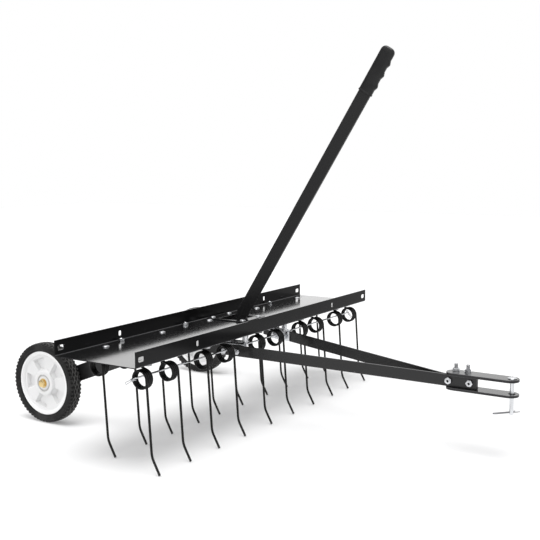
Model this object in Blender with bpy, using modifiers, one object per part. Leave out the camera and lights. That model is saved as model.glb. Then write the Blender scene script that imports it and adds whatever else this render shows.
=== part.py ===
"""Tow-behind dethatcher: a steel tray with ten double spring tines, a V drawbar, and a wheeled lift frame.

Lengths are metres. +X points forward to the hitch, +Y to the left and +Z up. The ground is z = 0.
Positions along X are measured from the outer face of the tray's rear lip.
"""

import math

import bmesh
import bpy
from mathutils import Matrix, Vector

# Clearance between neighbouring pieces
GAP = 0.0003

# Tray
TRAY_LENGTH = 1.016
TRAY_DEPTH = 0.2205
TRAY_SHEET = 0.002
TRAY_UNDERSIDE = 0.223
LIP_HEIGHT = 0.0344
FOLD_RADIUS = 0.004
END_HOLE_INSET = 0.017
END_HOLE_WIDTH = 0.018
END_HOLE_HEIGHT = 0.0105
LIP_SLOT_Y = 0.305
LIP_SLOT_WIDTH = 0.010
LIP_SLOT_HEIGHT = 0.012

# Double spring tines
WIRE_RADIUS = 0.0026
COIL_RADIUS = 0.0186
COIL_TURNS = 3
COIL_POINTS = 7
COIL_PITCH = 0.0058
COIL_DROP = 0.0315
COIL_ENTRY_ANGLE = math.radians(80)
TINE_HALF_SPREAD = 0.0515
TINE_KNEE_HEIGHT = 0.0355
TINE_KNEE_LEAN = 0.011
TINE_TOE_REACH = 0.020
TINE_TOE_HEIGHT = 0.0010
FRONT_COIL_INSET = 0.0225
REAR_COIL_X = 0.046
FRONT_PAIRS = (-0.4205, -0.2135, 0.004, 0.210, 0.404)
REAR_INNER_PAIRS = (-0.186, 0.004, 0.226)
REAR_LEFT_PAIR = 0.446
TINE_SIDE_CLEARANCE = 0.0025
TINE_BOLT_RADIUS = 0.004
KEEPER_SLOT_Y = 0.026
KEEPER_SLOT_LENGTH = 0.010
KEEPER_SLOT_WIDTH = 0.002

# Retaining rod of the front row
ROD_RADIUS = 0.002
ROD_ANGLE = math.radians(172)
ROD_OVERHANG = 0.011
CLIP_WIRE_RADIUS = 0.0009
ROD_CLIP_LENGTH = 0.034
ROD_CLIP_TURNS = (math.radians(154), math.radians(50))

# Lift frame, on a shaft under the tray
SHAFT_X = 0.070
SHAFT_RADIUS = 0.008
SHAFT_CLEARANCE = 0.002
SHAFT_OVERHANG = 0.010
ARM_THICKNESS = 0.006
ARM_HALF_WIDTH = 0.015
ARM_TAPER = 0.026
LUG_THICKNESS = 0.005
LUG_HALF_WIDTH = 0.013

# Wheels
WHEEL_X = -0.229
WHEEL_RADIUS = 0.097
WHEEL_OFFSET = 0.020
TYRE_HALF_WIDTH = 0.017
TYRE_BEAD_RADIUS = 0.0775
TREAD_DEPTH = 0.0028
TREAD_LUGS = 11
HUB_HALF_WIDTH = 0.014
HUB_WEB_FACE = 0.0118
HUB_WEB_BACK = 0.010
POCKETS = 5
POCKET_DEPTH = 0.008
POCKET_INNER = 0.031
POCKET_OUTER = 0.065
POCKET_START = math.radians(38)
AXLE_RADIUS = 0.006

# Lift handle
HANDLE_Y = 0.069
HANDLE_LEAN = math.radians(32)
HANDLE_HALF_WIDTH = 0.016
HANDLE_THICKNESS = 0.006
HANDLE_TAIL = 0.044
HANDLE_BOLT_DROP = 0.031
GRIP_START = 0.672
GRIP_LENGTH = 0.116
GRIP_HALF_WIDTH = 0.018
GRIP_THICKNESS = 0.017
GRIP_WAVES = 4
GRIP_WAVE_HEIGHT = 0.0022
GRIP_SOCKET = 0.095

# Bracket of the handle, set in a window of the tray
WINDOW_REAR = 0.038
WINDOW_FRONT = 0.1005
WINDOW_RIGHT = 0.027
WINDOW_LEFT = 0.112
BRACKET_SHEET = 0.0025
BRACKET_FLANGE = 0.008
BRACKET_REAR = 0.009
BRACKET_FRONT = 0.122
STUD_REAR_X = 0.0175
STUD_FRONT_X = 0.110
STUD_RIGHT_Y = 0.0335
STUD_LEFT_Y = 0.1056

# Shaft hangers
HANGER_OFFSET = 0.027
HANGER_MIDDLE_Y = -0.078
HANGER_THICKNESS = 0.003
HANGER_WIDTH = 0.018
HANGER_REAR_STUD = 0.014
HANGER_FRONT_GAP = 0.016
STUD_RADIUS = 0.003

# Drawbars
BAR_HALF_HEIGHT = 0.013
BAR_THICKNESS = 0.0045
BAR_REAR_INSET = 0.1085
BAR_REAR_Y = 0.130
BAR_REAR_DROP = 0.0323
BAR_BEND_X = 0.664
BAR_END_X = 0.737
BAR_FRONT_HEIGHT = 0.1565
BAR_FRONT_Y = -0.0048

# Hitch brackets
HITCH_BRACKET_SHEET = 0.003
HITCH_BRACKET_INSET = 0.0125
HITCH_BRACKET_LENGTH = 0.068
HITCH_BRACKET_DROP = 0.019
HITCH_BRACKET_HEIGHT = 0.031
HITCH_TONGUE = 0.034
SHOULDER_BOLT_EDGE = 0.008
SHOULDER_BOLT_SPACING = 0.044
SHOULDER_BOLT_INSET = 0.020
DRAWBAR_BOLT_EDGE = 0.0155
DRAWBAR_BOLT_SPACING = 0.0325
DRAWBAR_BOLT_RADIUS = 0.004
DRAWBAR_NUT_RADIUS = 0.0074

# Clevis straps and hitch pin
STRAP_HALF_WIDTH = 0.015
STRAP_THICKNESS = 0.005
STRAP_REAR = 0.681
STRAP_FRONT = 0.810
STRAP_BOLT_REAR = 0.684
STRAP_BOLT_SPACING = 0.027
STRAP_BOLT_Y = 0.0078
STRAP_BOLT_RADIUS = 0.004
BAR_BOLT_REAR = 0.674
BAR_BOLT_SPACING = 0.0475
PIN_RADIUS = 0.0046
PIN_BORE_RADIUS = 0.0062
PIN_HEAD_RADIUS = 0.0095
PIN_HEAD_HEIGHT = 0.0035
PIN_BELOW_STRAP = 0.040
PIN_CLIP_DROP = 0.035
PIN_CLIP_LENGTH = 0.062
PIN_CLIP_TURN = math.radians(48)
PIN_CLIP_WIRE_RADIUS = 0.0011

# Heights and places that follow from the sizes above
FLOOR_TOP = TRAY_UNDERSIDE + TRAY_SHEET
BRIDGE_HEIGHT = TRAY_UNDERSIDE - GAP - WIRE_RADIUS
COIL_HEIGHT = TRAY_UNDERSIDE - COIL_DROP
FRONT_COIL_X = TRAY_DEPTH - FRONT_COIL_INSET
FRONT_BOLT_X = FRONT_COIL_X - COIL_RADIUS
REAR_BOLT_X = REAR_COIL_X - COIL_RADIUS
SHAFT_HEIGHT = TRAY_UNDERSIDE - SHAFT_CLEARANCE - SHAFT_RADIUS
ARM_EYE_RADIUS = SHAFT_RADIUS + SHAFT_CLEARANCE - 2 * GAP
TINE_REACH = TINE_HALF_SPREAD + WIRE_RADIUS
ARM_INNER_Y = REAR_INNER_PAIRS[-1] + TINE_REACH + TINE_SIDE_CLEARANCE
ARM_OUTER_Y = ARM_INNER_Y + ARM_THICKNESS
WHEEL_Y = ARM_OUTER_Y + WHEEL_OFFSET
HANGER_END_Y = ARM_OUTER_Y + HANGER_OFFSET
HANGER_YS = (-HANGER_END_Y, HANGER_MIDDLE_Y, HANGER_END_Y)
SHAFT_HALF_LENGTH = HANGER_END_Y + SHAFT_OVERHANG
REAR_RIGHT_PAIR = -(HANGER_END_Y + HANGER_WIDTH / 2 + TINE_SIDE_CLEARANCE + TINE_REACH)
REAR_PAIRS = (REAR_RIGHT_PAIR, *REAR_INNER_PAIRS, REAR_LEFT_PAIR)
BAR_REAR_HEIGHT = TRAY_UNDERSIDE - BAR_REAR_DROP
HITCH_BRACKET_TOP = TRAY_UNDERSIDE - HITCH_BRACKET_DROP
HITCH_BRACKET_BOTTOM = HITCH_BRACKET_TOP - HITCH_BRACKET_HEIGHT
HITCH_BRACKET_FRONT = TRAY_DEPTH - HITCH_BRACKET_INSET
HITCH_BRACKET_REAR = HITCH_BRACKET_FRONT - HITCH_BRACKET_LENGTH
SHOULDER_BOLT_FRONT = HITCH_BRACKET_FRONT - SHOULDER_BOLT_EDGE
SHOULDER_BOLT_XS = (SHOULDER_BOLT_FRONT - SHOULDER_BOLT_SPACING, SHOULDER_BOLT_FRONT)
HANGER_FRONT_STUD = SHOULDER_BOLT_XS[0] - HANGER_FRONT_GAP
DRAWBAR_BOLT_FRONT = HITCH_BRACKET_FRONT - DRAWBAR_BOLT_EDGE
DRAWBAR_BOLT_XS = (DRAWBAR_BOLT_FRONT - DRAWBAR_BOLT_SPACING, DRAWBAR_BOLT_FRONT)
BAR_REAR_X = TRAY_DEPTH - BAR_REAR_INSET
STRAP_BOLT_XS = (STRAP_BOLT_REAR, STRAP_BOLT_REAR + STRAP_BOLT_SPACING)
BAR_BOLT_XS = (BAR_BOLT_REAR, BAR_BOLT_REAR + BAR_BOLT_SPACING)
BAR_TOP = BAR_FRONT_HEIGHT + BAR_HALF_HEIGHT
BAR_BOTTOM = BAR_FRONT_HEIGHT - BAR_HALF_HEIGHT
UPPER_STRAP_TOP = BAR_TOP + GAP + STRAP_THICKNESS
LOWER_STRAP_BOTTOM = BAR_BOTTOM - GAP - STRAP_THICKNESS
STRAP_TIP = STRAP_FRONT + STRAP_HALF_WIDTH
BAR_SLOPE = (BAR_REAR_HEIGHT - BAR_FRONT_HEIGHT) / (BAR_BEND_X - BAR_REAR_X)
MIDDLE_X = (WHEEL_X - WHEEL_RADIUS + STRAP_TIP) / 2
COIL_INSIDE = COIL_RADIUS * math.cos(math.pi / COIL_POINTS) - WIRE_RADIUS
ROD_OFFSET = COIL_INSIDE - ROD_RADIUS - GAP
ROD_X = FRONT_COIL_X + ROD_OFFSET * math.cos(ROD_ANGLE)
ROD_HEIGHT = COIL_HEIGHT + ROD_OFFSET * math.sin(ROD_ANGLE)
DRAWBAR_BOLT_HEIGHT = ROD_HEIGHT - ROD_RADIUS - 2 * GAP - DRAWBAR_NUT_RADIUS * math.cos(math.pi / 6)

# Turns a flat outline (u, v) so that u runs along X, v along Z and its thickness along Y
UPRIGHT = Matrix.Rotation(math.pi / 2, 4, "X")

for item in list(bpy.data.objects):
    bpy.data.objects.remove(item)

PARTS = bpy.data.collections.new("dethatcher")
CUTTERS = bpy.data.collections.new("cutters")
bpy.context.scene.collection.children.link(PARTS)
bpy.context.scene.collection.children.link(CUTTERS)

ROOT = bpy.data.objects.new("dethatcher_frame", None)
ROOT.location = (-MIDDLE_X, 0, 0)
PARTS.objects.link(ROOT)


def material(name, colour, roughness, metallic):
    """A plain Principled material."""
    made = bpy.data.materials.new(name)
    made.use_nodes = True
    shader = made.node_tree.nodes["Principled BSDF"]
    shader.inputs["Base Color"].default_value = (*colour, 1)
    shader.inputs["Roughness"].default_value = roughness
    shader.inputs["Metallic"].default_value = metallic
    made.diffuse_color = (*colour, 1)
    return made


def add_part(name, mesh, look, location=(0, 0, 0), rotation=(0, 0, 0), parent=ROOT):
    """Place a mesh as one named piece with a material of its own."""
    colour, roughness, metallic = look
    piece = bpy.data.objects.new(name, mesh)
    piece.location = location
    piece.rotation_euler = rotation
    piece.parent = parent
    PARTS.objects.link(piece)
    mesh.materials.clear()
    mesh.materials.append(material(name, colour, roughness, metallic))
    return piece


def add_cutter(name, mesh, like=None):
    """Place a mesh as a tool of a Boolean, in the frame of the piece that it shapes."""
    tool = bpy.data.objects.new(name, mesh)
    if like is None:
        tool.parent = ROOT
    else:
        tool.parent = like.parent
        tool.location = like.location
        tool.rotation_euler = like.rotation_euler
    tool.hide_render = True
    tool.display_type = "WIRE"
    CUTTERS.objects.link(tool)
    return tool


def combine(piece, tool, operation):
    """Cut a piece with a tool, or join the tool to it."""
    step = piece.modifiers.new(tool.name, "BOOLEAN")
    step.operation = operation
    step.solver = "EXACT"
    step.object = tool


def finish_mesh(shape, name):
    """Close a bmesh into a mesh with its faces pointing out and its round sides smooth."""
    bmesh.ops.remove_doubles(shape, verts=shape.verts, dist=0.000001)
    bmesh.ops.recalc_face_normals(shape, faces=shape.faces)
    mesh = bpy.data.meshes.new(name)
    shape.to_mesh(mesh)
    shape.free()
    mesh.shade_smooth()
    mesh.set_sharp_from_angle(angle=math.radians(35))
    return mesh


def add_box(shape, low, high):
    """A box between two corners."""
    middle = [(a + b) / 2 for a, b in zip(low, high)]
    size = [b - a for a, b in zip(low, high)]
    place = Matrix.Translation(middle) @ Matrix.Diagonal((*size, 1))
    bmesh.ops.create_cube(shape, size=1, matrix=place)


def add_cylinder(shape, middle, axis, radius, length, sides=16):
    """A closed cylinder along an axis."""
    turn = Vector((0, 0, 1)).rotation_difference(Vector(axis)).to_matrix().to_4x4()
    place = Matrix.Translation(middle) @ turn
    bmesh.ops.create_cone(shape, cap_ends=True, segments=sides, radius1=radius, radius2=radius,
                          depth=length, matrix=place)


def mesh_from_curve(curve, name):
    """The closed mesh of a curve, with its caps welded on."""
    holder = bpy.data.objects.new(name, curve)
    bpy.context.scene.collection.objects.link(holder)
    depsgraph = bpy.context.evaluated_depsgraph_get()
    rough = bpy.data.meshes.new_from_object(holder.evaluated_get(depsgraph))
    bpy.data.objects.remove(holder)
    bpy.data.curves.remove(curve)
    shape = bmesh.new()
    shape.from_mesh(rough)
    bpy.data.meshes.remove(rough)
    return finish_mesh(shape, name)


def outline_mesh(name, outline, thickness, turn=UPRIGHT):
    """A flat outline made thick, as a 2D curve filled on both sides."""
    curve = bpy.data.curves.new(name, "CURVE")
    curve.dimensions = "2D"
    curve.fill_mode = "BOTH"
    curve.extrude = thickness / 2
    spline = curve.splines.new("POLY")
    spline.points.add(len(outline) - 1)
    for point, (u, v) in zip(spline.points, outline):
        point.co = (u, v, 0, 1)
    spline.use_cyclic_u = True
    mesh = mesh_from_curve(curve, name)
    mesh.transform(turn)
    return mesh


def wire_mesh(name, points, radius, resolution=1):
    """A round wire along a list of points."""
    curve = bpy.data.curves.new(name, "CURVE")
    curve.dimensions = "3D"
    curve.bevel_depth = radius
    curve.bevel_resolution = resolution
    curve.use_fill_caps = True
    spline = curve.splines.new("POLY")
    spline.points.add(len(points) - 1)
    for point, place in zip(spline.points, points):
        point.co = (*place, 1)
    return mesh_from_curve(curve, name)


def ribbon(path, thickness):
    """The closed outline of a sheet of even thickness that follows a path through its middle."""
    sides = ([], [])
    for index, here in enumerate(path):
        before = Vector(path[max(index - 1, 0)])
        after = Vector(path[min(index + 1, len(path) - 1)])
        here = Vector(here)
        first = (here - before).normalized()
        second = (after - here).normalized()
        if first.length == 0:
            first = second
        if second.length == 0:
            second = first
        bisector = (first + second).normalized()
        reach = thickness / 2 / max(bisector.dot(first), 0.2)
        normal = Vector((-bisector.y, bisector.x))
        sides[0].append(here + normal * reach)
        sides[1].append(here - normal * reach)
    return sides[0] + sides[1][::-1]


def arc(centre, radius, start, stop, steps):
    """Points on an arc, with its angles in degrees."""
    points = []
    for step in range(steps + 1):
        angle = math.radians(start + (stop - start) * step / steps)
        points.append((centre[0] + radius * math.cos(angle), centre[1] + radius * math.sin(angle)))
    return points


def turned_mesh(name, profile, steps):
    """A closed profile of (radius, height) points turned about Z with a Screw modifier."""
    shape = bmesh.new()
    corners = [shape.verts.new((radius, 0, height)) for radius, height in profile]
    for index, corner in enumerate(corners):
        shape.edges.new((corner, corners[(index + 1) % len(corners)]))
    flat = bpy.data.meshes.new(name)
    shape.to_mesh(flat)
    shape.free()
    holder = bpy.data.objects.new(name, flat)
    bpy.context.scene.collection.objects.link(holder)
    screw = holder.modifiers.new("turn", "SCREW")
    screw.axis = "Z"
    screw.steps = steps
    screw.render_steps = steps
    screw.use_merge_vertices = True
    screw.merge_threshold = 0.00001
    depsgraph = bpy.context.evaluated_depsgraph_get()
    rough = bpy.data.meshes.new_from_object(holder.evaluated_get(depsgraph))
    bpy.data.objects.remove(holder)
    solid = bmesh.new()
    solid.from_mesh(rough)
    bpy.data.meshes.remove(rough)
    bpy.data.meshes.remove(flat)
    return finish_mesh(solid, name)


def bolt_mesh(name, stations, sides=12):
    """A bolt along Z, lofted through rings of (height, radius, kind), where kind is round or hex."""
    shape = bmesh.new()
    rings = []
    for height, radius, kind in stations:
        ring = []
        for index in range(sides):
            angle = 2 * math.pi * index / sides
            reach = radius
            if kind == "hex":
                turn = (angle + math.pi / 6) % (math.pi / 3) - math.pi / 6
                reach = radius * math.cos(math.pi / 6) / math.cos(math.pi / 6 - abs(turn))
            ring.append(shape.verts.new((reach * math.cos(angle), reach * math.sin(angle), height)))
        rings.append(ring)
    for lower, upper in zip(rings, rings[1:]):
        for index in range(sides):
            after = (index + 1) % sides
            shape.faces.new((lower[index], lower[after], upper[after], upper[index]))
    shape.faces.new(rings[0][::-1])
    shape.faces.new(rings[-1])
    return finish_mesh(shape, name)


BLACK = ((0.012, 0.012, 0.013), 0.35, 0.6)
SPRING = ((0.014, 0.014, 0.015), 0.42, 0.7)
ZINC = ((0.62, 0.63, 0.64), 0.35, 1.0)
GOLD_ZINC = ((0.66, 0.50, 0.22), 0.35, 1.0)
WHITE_PLASTIC = ((0.80, 0.80, 0.80), 0.45, 0.0)
RUBBER = ((0.018, 0.018, 0.018), 0.75, 0.0)
GRIP_RUBBER = ((0.016, 0.016, 0.017), 0.6, 0.0)


def tine_half(side):
    """Points of one half of a double tine, from its bolt outwards: bridge, coil and leg."""
    points = []
    start = TINE_HALF_SPREAD - COIL_PITCH * (COIL_TURNS + COIL_ENTRY_ANGLE / (2 * math.pi))
    for y in (0.0065, 0.0155):
        hump = math.cos(math.pi * y / 0.032) ** 2
        points.append((-0.001 - 0.0068 * hump, side * y, BRIDGE_HEIGHT))
    points.append((-0.001, side * (start - 0.004), BRIDGE_HEIGHT))
    along = COIL_POINTS * (COIL_TURNS + COIL_ENTRY_ANGLE / (2 * math.pi))
    count = math.ceil(along)
    for step in range(count + 1):
        share = step / count
        angle = COIL_ENTRY_ANGLE - share * (COIL_ENTRY_ANGLE + 2 * math.pi * COIL_TURNS)
        y = start + (TINE_HALF_SPREAD - start) * share
        points.append((COIL_RADIUS + COIL_RADIUS * math.cos(angle), side * y,
                       COIL_HEIGHT + COIL_RADIUS * math.sin(angle)))
    knee_x = 2 * COIL_RADIUS + TINE_KNEE_LEAN
    toe_x = knee_x + TINE_TOE_REACH
    spread = side * TINE_HALF_SPREAD
    fall = 0.008
    points.append((knee_x - 0.0003, spread, TINE_KNEE_HEIGHT + fall / 2))
    points.append((knee_x + 0.0028, spread, TINE_KNEE_HEIGHT - fall / 2))
    points.append((toe_x, spread, TINE_TOE_HEIGHT))
    return points


def tine_points():
    """The whole wire, from one toe over the bolt to the other toe."""
    left = tine_half(1)
    right = tine_half(-1)
    return right[::-1] + [(-0.0075, 0, BRIDGE_HEIGHT)] + left


def coil_self_gap():
    """The least clear distance between neighbouring curls of one coil, from its points to its straight runs."""
    curl = [Vector(place) for place in tine_half(1)[3:-3]]
    least = 1.0
    for index, place in enumerate(curl):
        for start in range(index + COIL_POINTS // 2, len(curl) - 1):
            run = curl[start + 1] - curl[start]
            share = (place - curl[start]).dot(run) / run.length_squared
            nearest = curl[start] + run * min(max(share, 0), 1)
            least = min(least, (place - nearest).length - 2 * WIRE_RADIUS)
    return least


def make_tray():
    """The tray: a floor with an upright lip at its rear and front, punched for what it carries."""
    half = TRAY_SHEET / 2
    top = TRAY_UNDERSIDE + LIP_HEIGHT
    low = TRAY_UNDERSIDE + FOLD_RADIUS
    bend = FOLD_RADIUS - half
    path = [(half, top)]
    path += arc((FOLD_RADIUS, low), bend, 180, 270, 2)
    path += arc((TRAY_DEPTH - FOLD_RADIUS, low), bend, 270, 360, 2)
    path.append((TRAY_DEPTH - half, top))
    mesh = outline_mesh("tray", ribbon(path, TRAY_SHEET), TRAY_LENGTH)
    tray = add_part("tray", mesh, BLACK)
    lip_middle = TRAY_UNDERSIDE + LIP_HEIGHT / 2
    holes = bmesh.new()
    for x in (0, TRAY_DEPTH):
        for side in (-1, 1):
            y = side * (TRAY_LENGTH / 2 - END_HOLE_INSET)
            add_box(holes, (x - 0.005, y - END_HOLE_WIDTH / 2, lip_middle - END_HOLE_HEIGHT / 2),
                    (x + 0.005, y + END_HOLE_WIDTH / 2, lip_middle + END_HOLE_HEIGHT / 2))
            y = side * LIP_SLOT_Y
            add_box(holes, (x - 0.005, y - LIP_SLOT_WIDTH / 2, lip_middle - LIP_SLOT_HEIGHT / 2),
                    (x + 0.005, y + LIP_SLOT_WIDTH / 2, lip_middle + LIP_SLOT_HEIGHT / 2))
    bottom = TRAY_UNDERSIDE - 0.001
    above = FLOOR_TOP + 0.001
    add_box(holes, (WINDOW_REAR - 2 * GAP, WINDOW_RIGHT - 2 * GAP, bottom),
            (WINDOW_FRONT + 2 * GAP, WINDOW_LEFT + 2 * GAP, above))
    floor_middle = (TRAY_UNDERSIDE + FLOOR_TOP) / 2
    drill = above - bottom
    for bolt_x, pairs in ((FRONT_BOLT_X, FRONT_PAIRS), (REAR_BOLT_X, REAR_PAIRS)):
        for y in pairs:
            add_cylinder(holes, (bolt_x, y, floor_middle), (0, 0, 1), TINE_BOLT_RADIUS + 2 * GAP, drill, 8)
            for side in (-1, 1):
                slot_y = y + side * KEEPER_SLOT_Y
                add_box(holes, (bolt_x - KEEPER_SLOT_WIDTH / 2, slot_y - KEEPER_SLOT_LENGTH / 2, bottom),
                        (bolt_x + KEEPER_SLOT_WIDTH / 2, slot_y + KEEPER_SLOT_LENGTH / 2, above))
    for x, y in stud_places():
        add_cylinder(holes, (x, y, floor_middle), (0, 0, 1), STUD_RADIUS + 2 * GAP, drill, 8)
    for side in (-1, 1):
        for x in SHOULDER_BOLT_XS:
            add_cylinder(holes, shoulder_bolt_place(x, side, floor_middle), (0, 0, 1),
                         DRAWBAR_BOLT_RADIUS + 2 * GAP, drill, 8)
    combine(tray, add_cutter("tray_holes", finish_mesh(holes, "tray_holes")), "DIFFERENCE")


def stud_places():
    """Where the studs of the handle bracket and of the hangers pass through the tray."""
    places = [(x, y) for x in (STUD_REAR_X, STUD_FRONT_X) for y in (STUD_RIGHT_Y, STUD_LEFT_Y)]
    places += [(x, y) for x in (HANGER_REAR_STUD, HANGER_FRONT_STUD) for y in HANGER_YS]
    return places


def make_tines():
    """Ten double tines, each held under the tray by one bolt."""
    shared = wire_mesh("tine_wire", tine_points(), WIRE_RADIUS)
    for vertex in shared.vertices:
        vertex.co.z = max(vertex.co.z, 0)
    washer = BRIDGE_HEIGHT - WIRE_RADIUS - GAP
    stations = [(washer - 0.0085, 0.0075, "hex"), (washer - 0.002, 0.0075, "hex"), (washer, 0.0125, "round"),
                (washer, TINE_BOLT_RADIUS, "round"), (FLOOR_TOP + GAP, TINE_BOLT_RADIUS, "round"),
                (FLOOR_TOP + GAP, 0.0080, "round"), (FLOOR_TOP + 0.0042, 0.0048, "round")]
    for row, bolt_x, pairs in (("front", FRONT_BOLT_X, FRONT_PAIRS), ("rear", REAR_BOLT_X, REAR_PAIRS)):
        for number, y in enumerate(pairs, 1):
            add_part(f"tine_{row}_{number}", shared.copy(), SPRING, (bolt_x, y, 0))
            name = f"tine_bolt_{row}_{number}"
            add_part(name, bolt_mesh(name, stations), ZINC, (bolt_x, y, 0))


def clip_points(pin_radius, wire, length):
    """A hair clip in its own XY plane: one leg through the pin's hole, one round its outside."""
    reach = pin_radius + wire + GAP
    loop = max(reach / 2, 2.6 * wire)
    head = length * 0.67 - loop - wire
    points = [(-length * 0.33, 0, 0), (0, 0, 0)]
    points += [(x, y, 0) for x, y in arc((head, loop), loop, -90, 110, 5)]
    waist = pin_radius + 2.5 * wire
    points.append((waist, reach * 0.9, 0))
    points.append((0, reach, 0))
    points.append((-waist, reach, 0))
    points.append((-waist - length * 0.12, reach * 1.5, 0))
    return points


def make_rod():
    """The retaining rod through the front coils, with a hair clip at each end."""
    low = FRONT_PAIRS[0] - TINE_REACH - ROD_OVERHANG
    high = FRONT_PAIRS[-1] + TINE_REACH + ROD_OVERHANG
    shape = bmesh.new()
    add_cylinder(shape, (ROD_X, (low + high) / 2, ROD_HEIGHT), (0, 1, 0), ROD_RADIUS, high - low, 12)
    rod = add_part("tine_rod", finish_mesh(shape, "tine_rod"), ZINC)
    holes = bmesh.new()
    clip_ys = (low + ROD_OVERHANG * 0.6, high - ROD_OVERHANG * 0.6)
    for y, turn in zip(clip_ys, ROD_CLIP_TURNS):
        along = (math.cos(turn), 0, -math.sin(turn))
        add_cylinder(holes, (ROD_X, y, ROD_HEIGHT), along, CLIP_WIRE_RADIUS + GAP / 2, 0.012, 8)
    combine(rod, add_cutter("tine_rod_holes", finish_mesh(holes, "tine_rod_holes")), "DIFFERENCE")
    for number, (y, turn) in enumerate(zip(clip_ys, ROD_CLIP_TURNS), 1):
        name = f"tine_rod_clip_{number}"
        mesh = wire_mesh(name, clip_points(ROD_RADIUS, CLIP_WIRE_RADIUS, ROD_CLIP_LENGTH), CLIP_WIRE_RADIUS)
        mesh.transform(UPRIGHT)
        mesh.transform(Matrix.Rotation(turn, 4, "Y"))
        add_part(name, mesh, ZINC, (ROD_X, y, ROD_HEIGHT))


def arm_outline():
    """The side outline of a wheel arm, from the shaft's eye to the axle."""
    shaft = Vector((SHAFT_X, SHAFT_HEIGHT))
    axle = Vector((WHEEL_X, WHEEL_RADIUS))
    along = (axle - shaft).normalized()
    across = Vector((-along.y, along.x))
    heading = math.degrees(math.atan2(along.y, along.x))
    points = arc(shaft, ARM_EYE_RADIUS, heading + 90, heading + 270, 6)
    points.append(tuple(shaft + along * ARM_TAPER - across * ARM_HALF_WIDTH))
    points += arc(axle, ARM_HALF_WIDTH, heading - 90, heading + 90, 6)
    points.append(tuple(shaft + along * ARM_TAPER + across * ARM_HALF_WIDTH))
    return points


def make_lift_frame():
    """The welded lift frame: a shaft, two wheel arms and the lug of the handle."""
    shape = bmesh.new()
    add_cylinder(shape, (0, 0, 0), (0, 1, 0), SHAFT_RADIUS, 2 * SHAFT_HALF_LENGTH, 16)
    frame = add_part("lift_frame", finish_mesh(shape, "lift_frame"), BLACK, (SHAFT_X, 0, SHAFT_HEIGHT))
    for side, label in ((-1, "right"), (1, "left")):
        mesh = outline_mesh(f"arm_{label}", arm_outline(), ARM_THICKNESS)
        mesh.transform(Matrix.Translation((0, side * (ARM_INNER_Y + ARM_THICKNESS / 2), 0)))
        combine(frame, add_cutter(f"arm_{label}", mesh), "UNION")
    lug = arc((0, 0), ARM_EYE_RADIUS, 0, 180, 6)
    lug += arc((0, -HANDLE_BOLT_DROP), LUG_HALF_WIDTH, 180, 360, 6)
    mesh = outline_mesh("handle_lug", lug, LUG_THICKNESS)
    mesh.transform(Matrix.Rotation(HANDLE_LEAN, 4, "Y"))
    lug_y = HANDLE_Y + HANDLE_THICKNESS / 2 + GAP + LUG_THICKNESS / 2
    mesh.transform(Matrix.Translation((SHAFT_X, lug_y, SHAFT_HEIGHT)))
    combine(frame, add_cutter("handle_lug", mesh), "UNION")
    holes = bmesh.new()
    for side in (-1, 1):
        add_cylinder(holes, (WHEEL_X, side * (ARM_INNER_Y + ARM_THICKNESS / 2), WHEEL_RADIUS), (0, 1, 0),
                     AXLE_RADIUS + GAP, 0.02, 12)
    x, z = handle_point(-HANDLE_BOLT_DROP)
    add_cylinder(holes, (x, lug_y, z), (0, 1, 0), DRAWBAR_BOLT_RADIUS + GAP, 0.02, 12)
    combine(frame, add_cutter("lift_frame_holes", finish_mesh(holes, "lift_frame_holes")), "DIFFERENCE")


def handle_point(distance):
    """Where a distance along the handle's middle line from the shaft lies, in X and Z."""
    return (SHAFT_X + distance * math.sin(HANDLE_LEAN), SHAFT_HEIGHT + distance * math.cos(HANDLE_LEAN))


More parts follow.
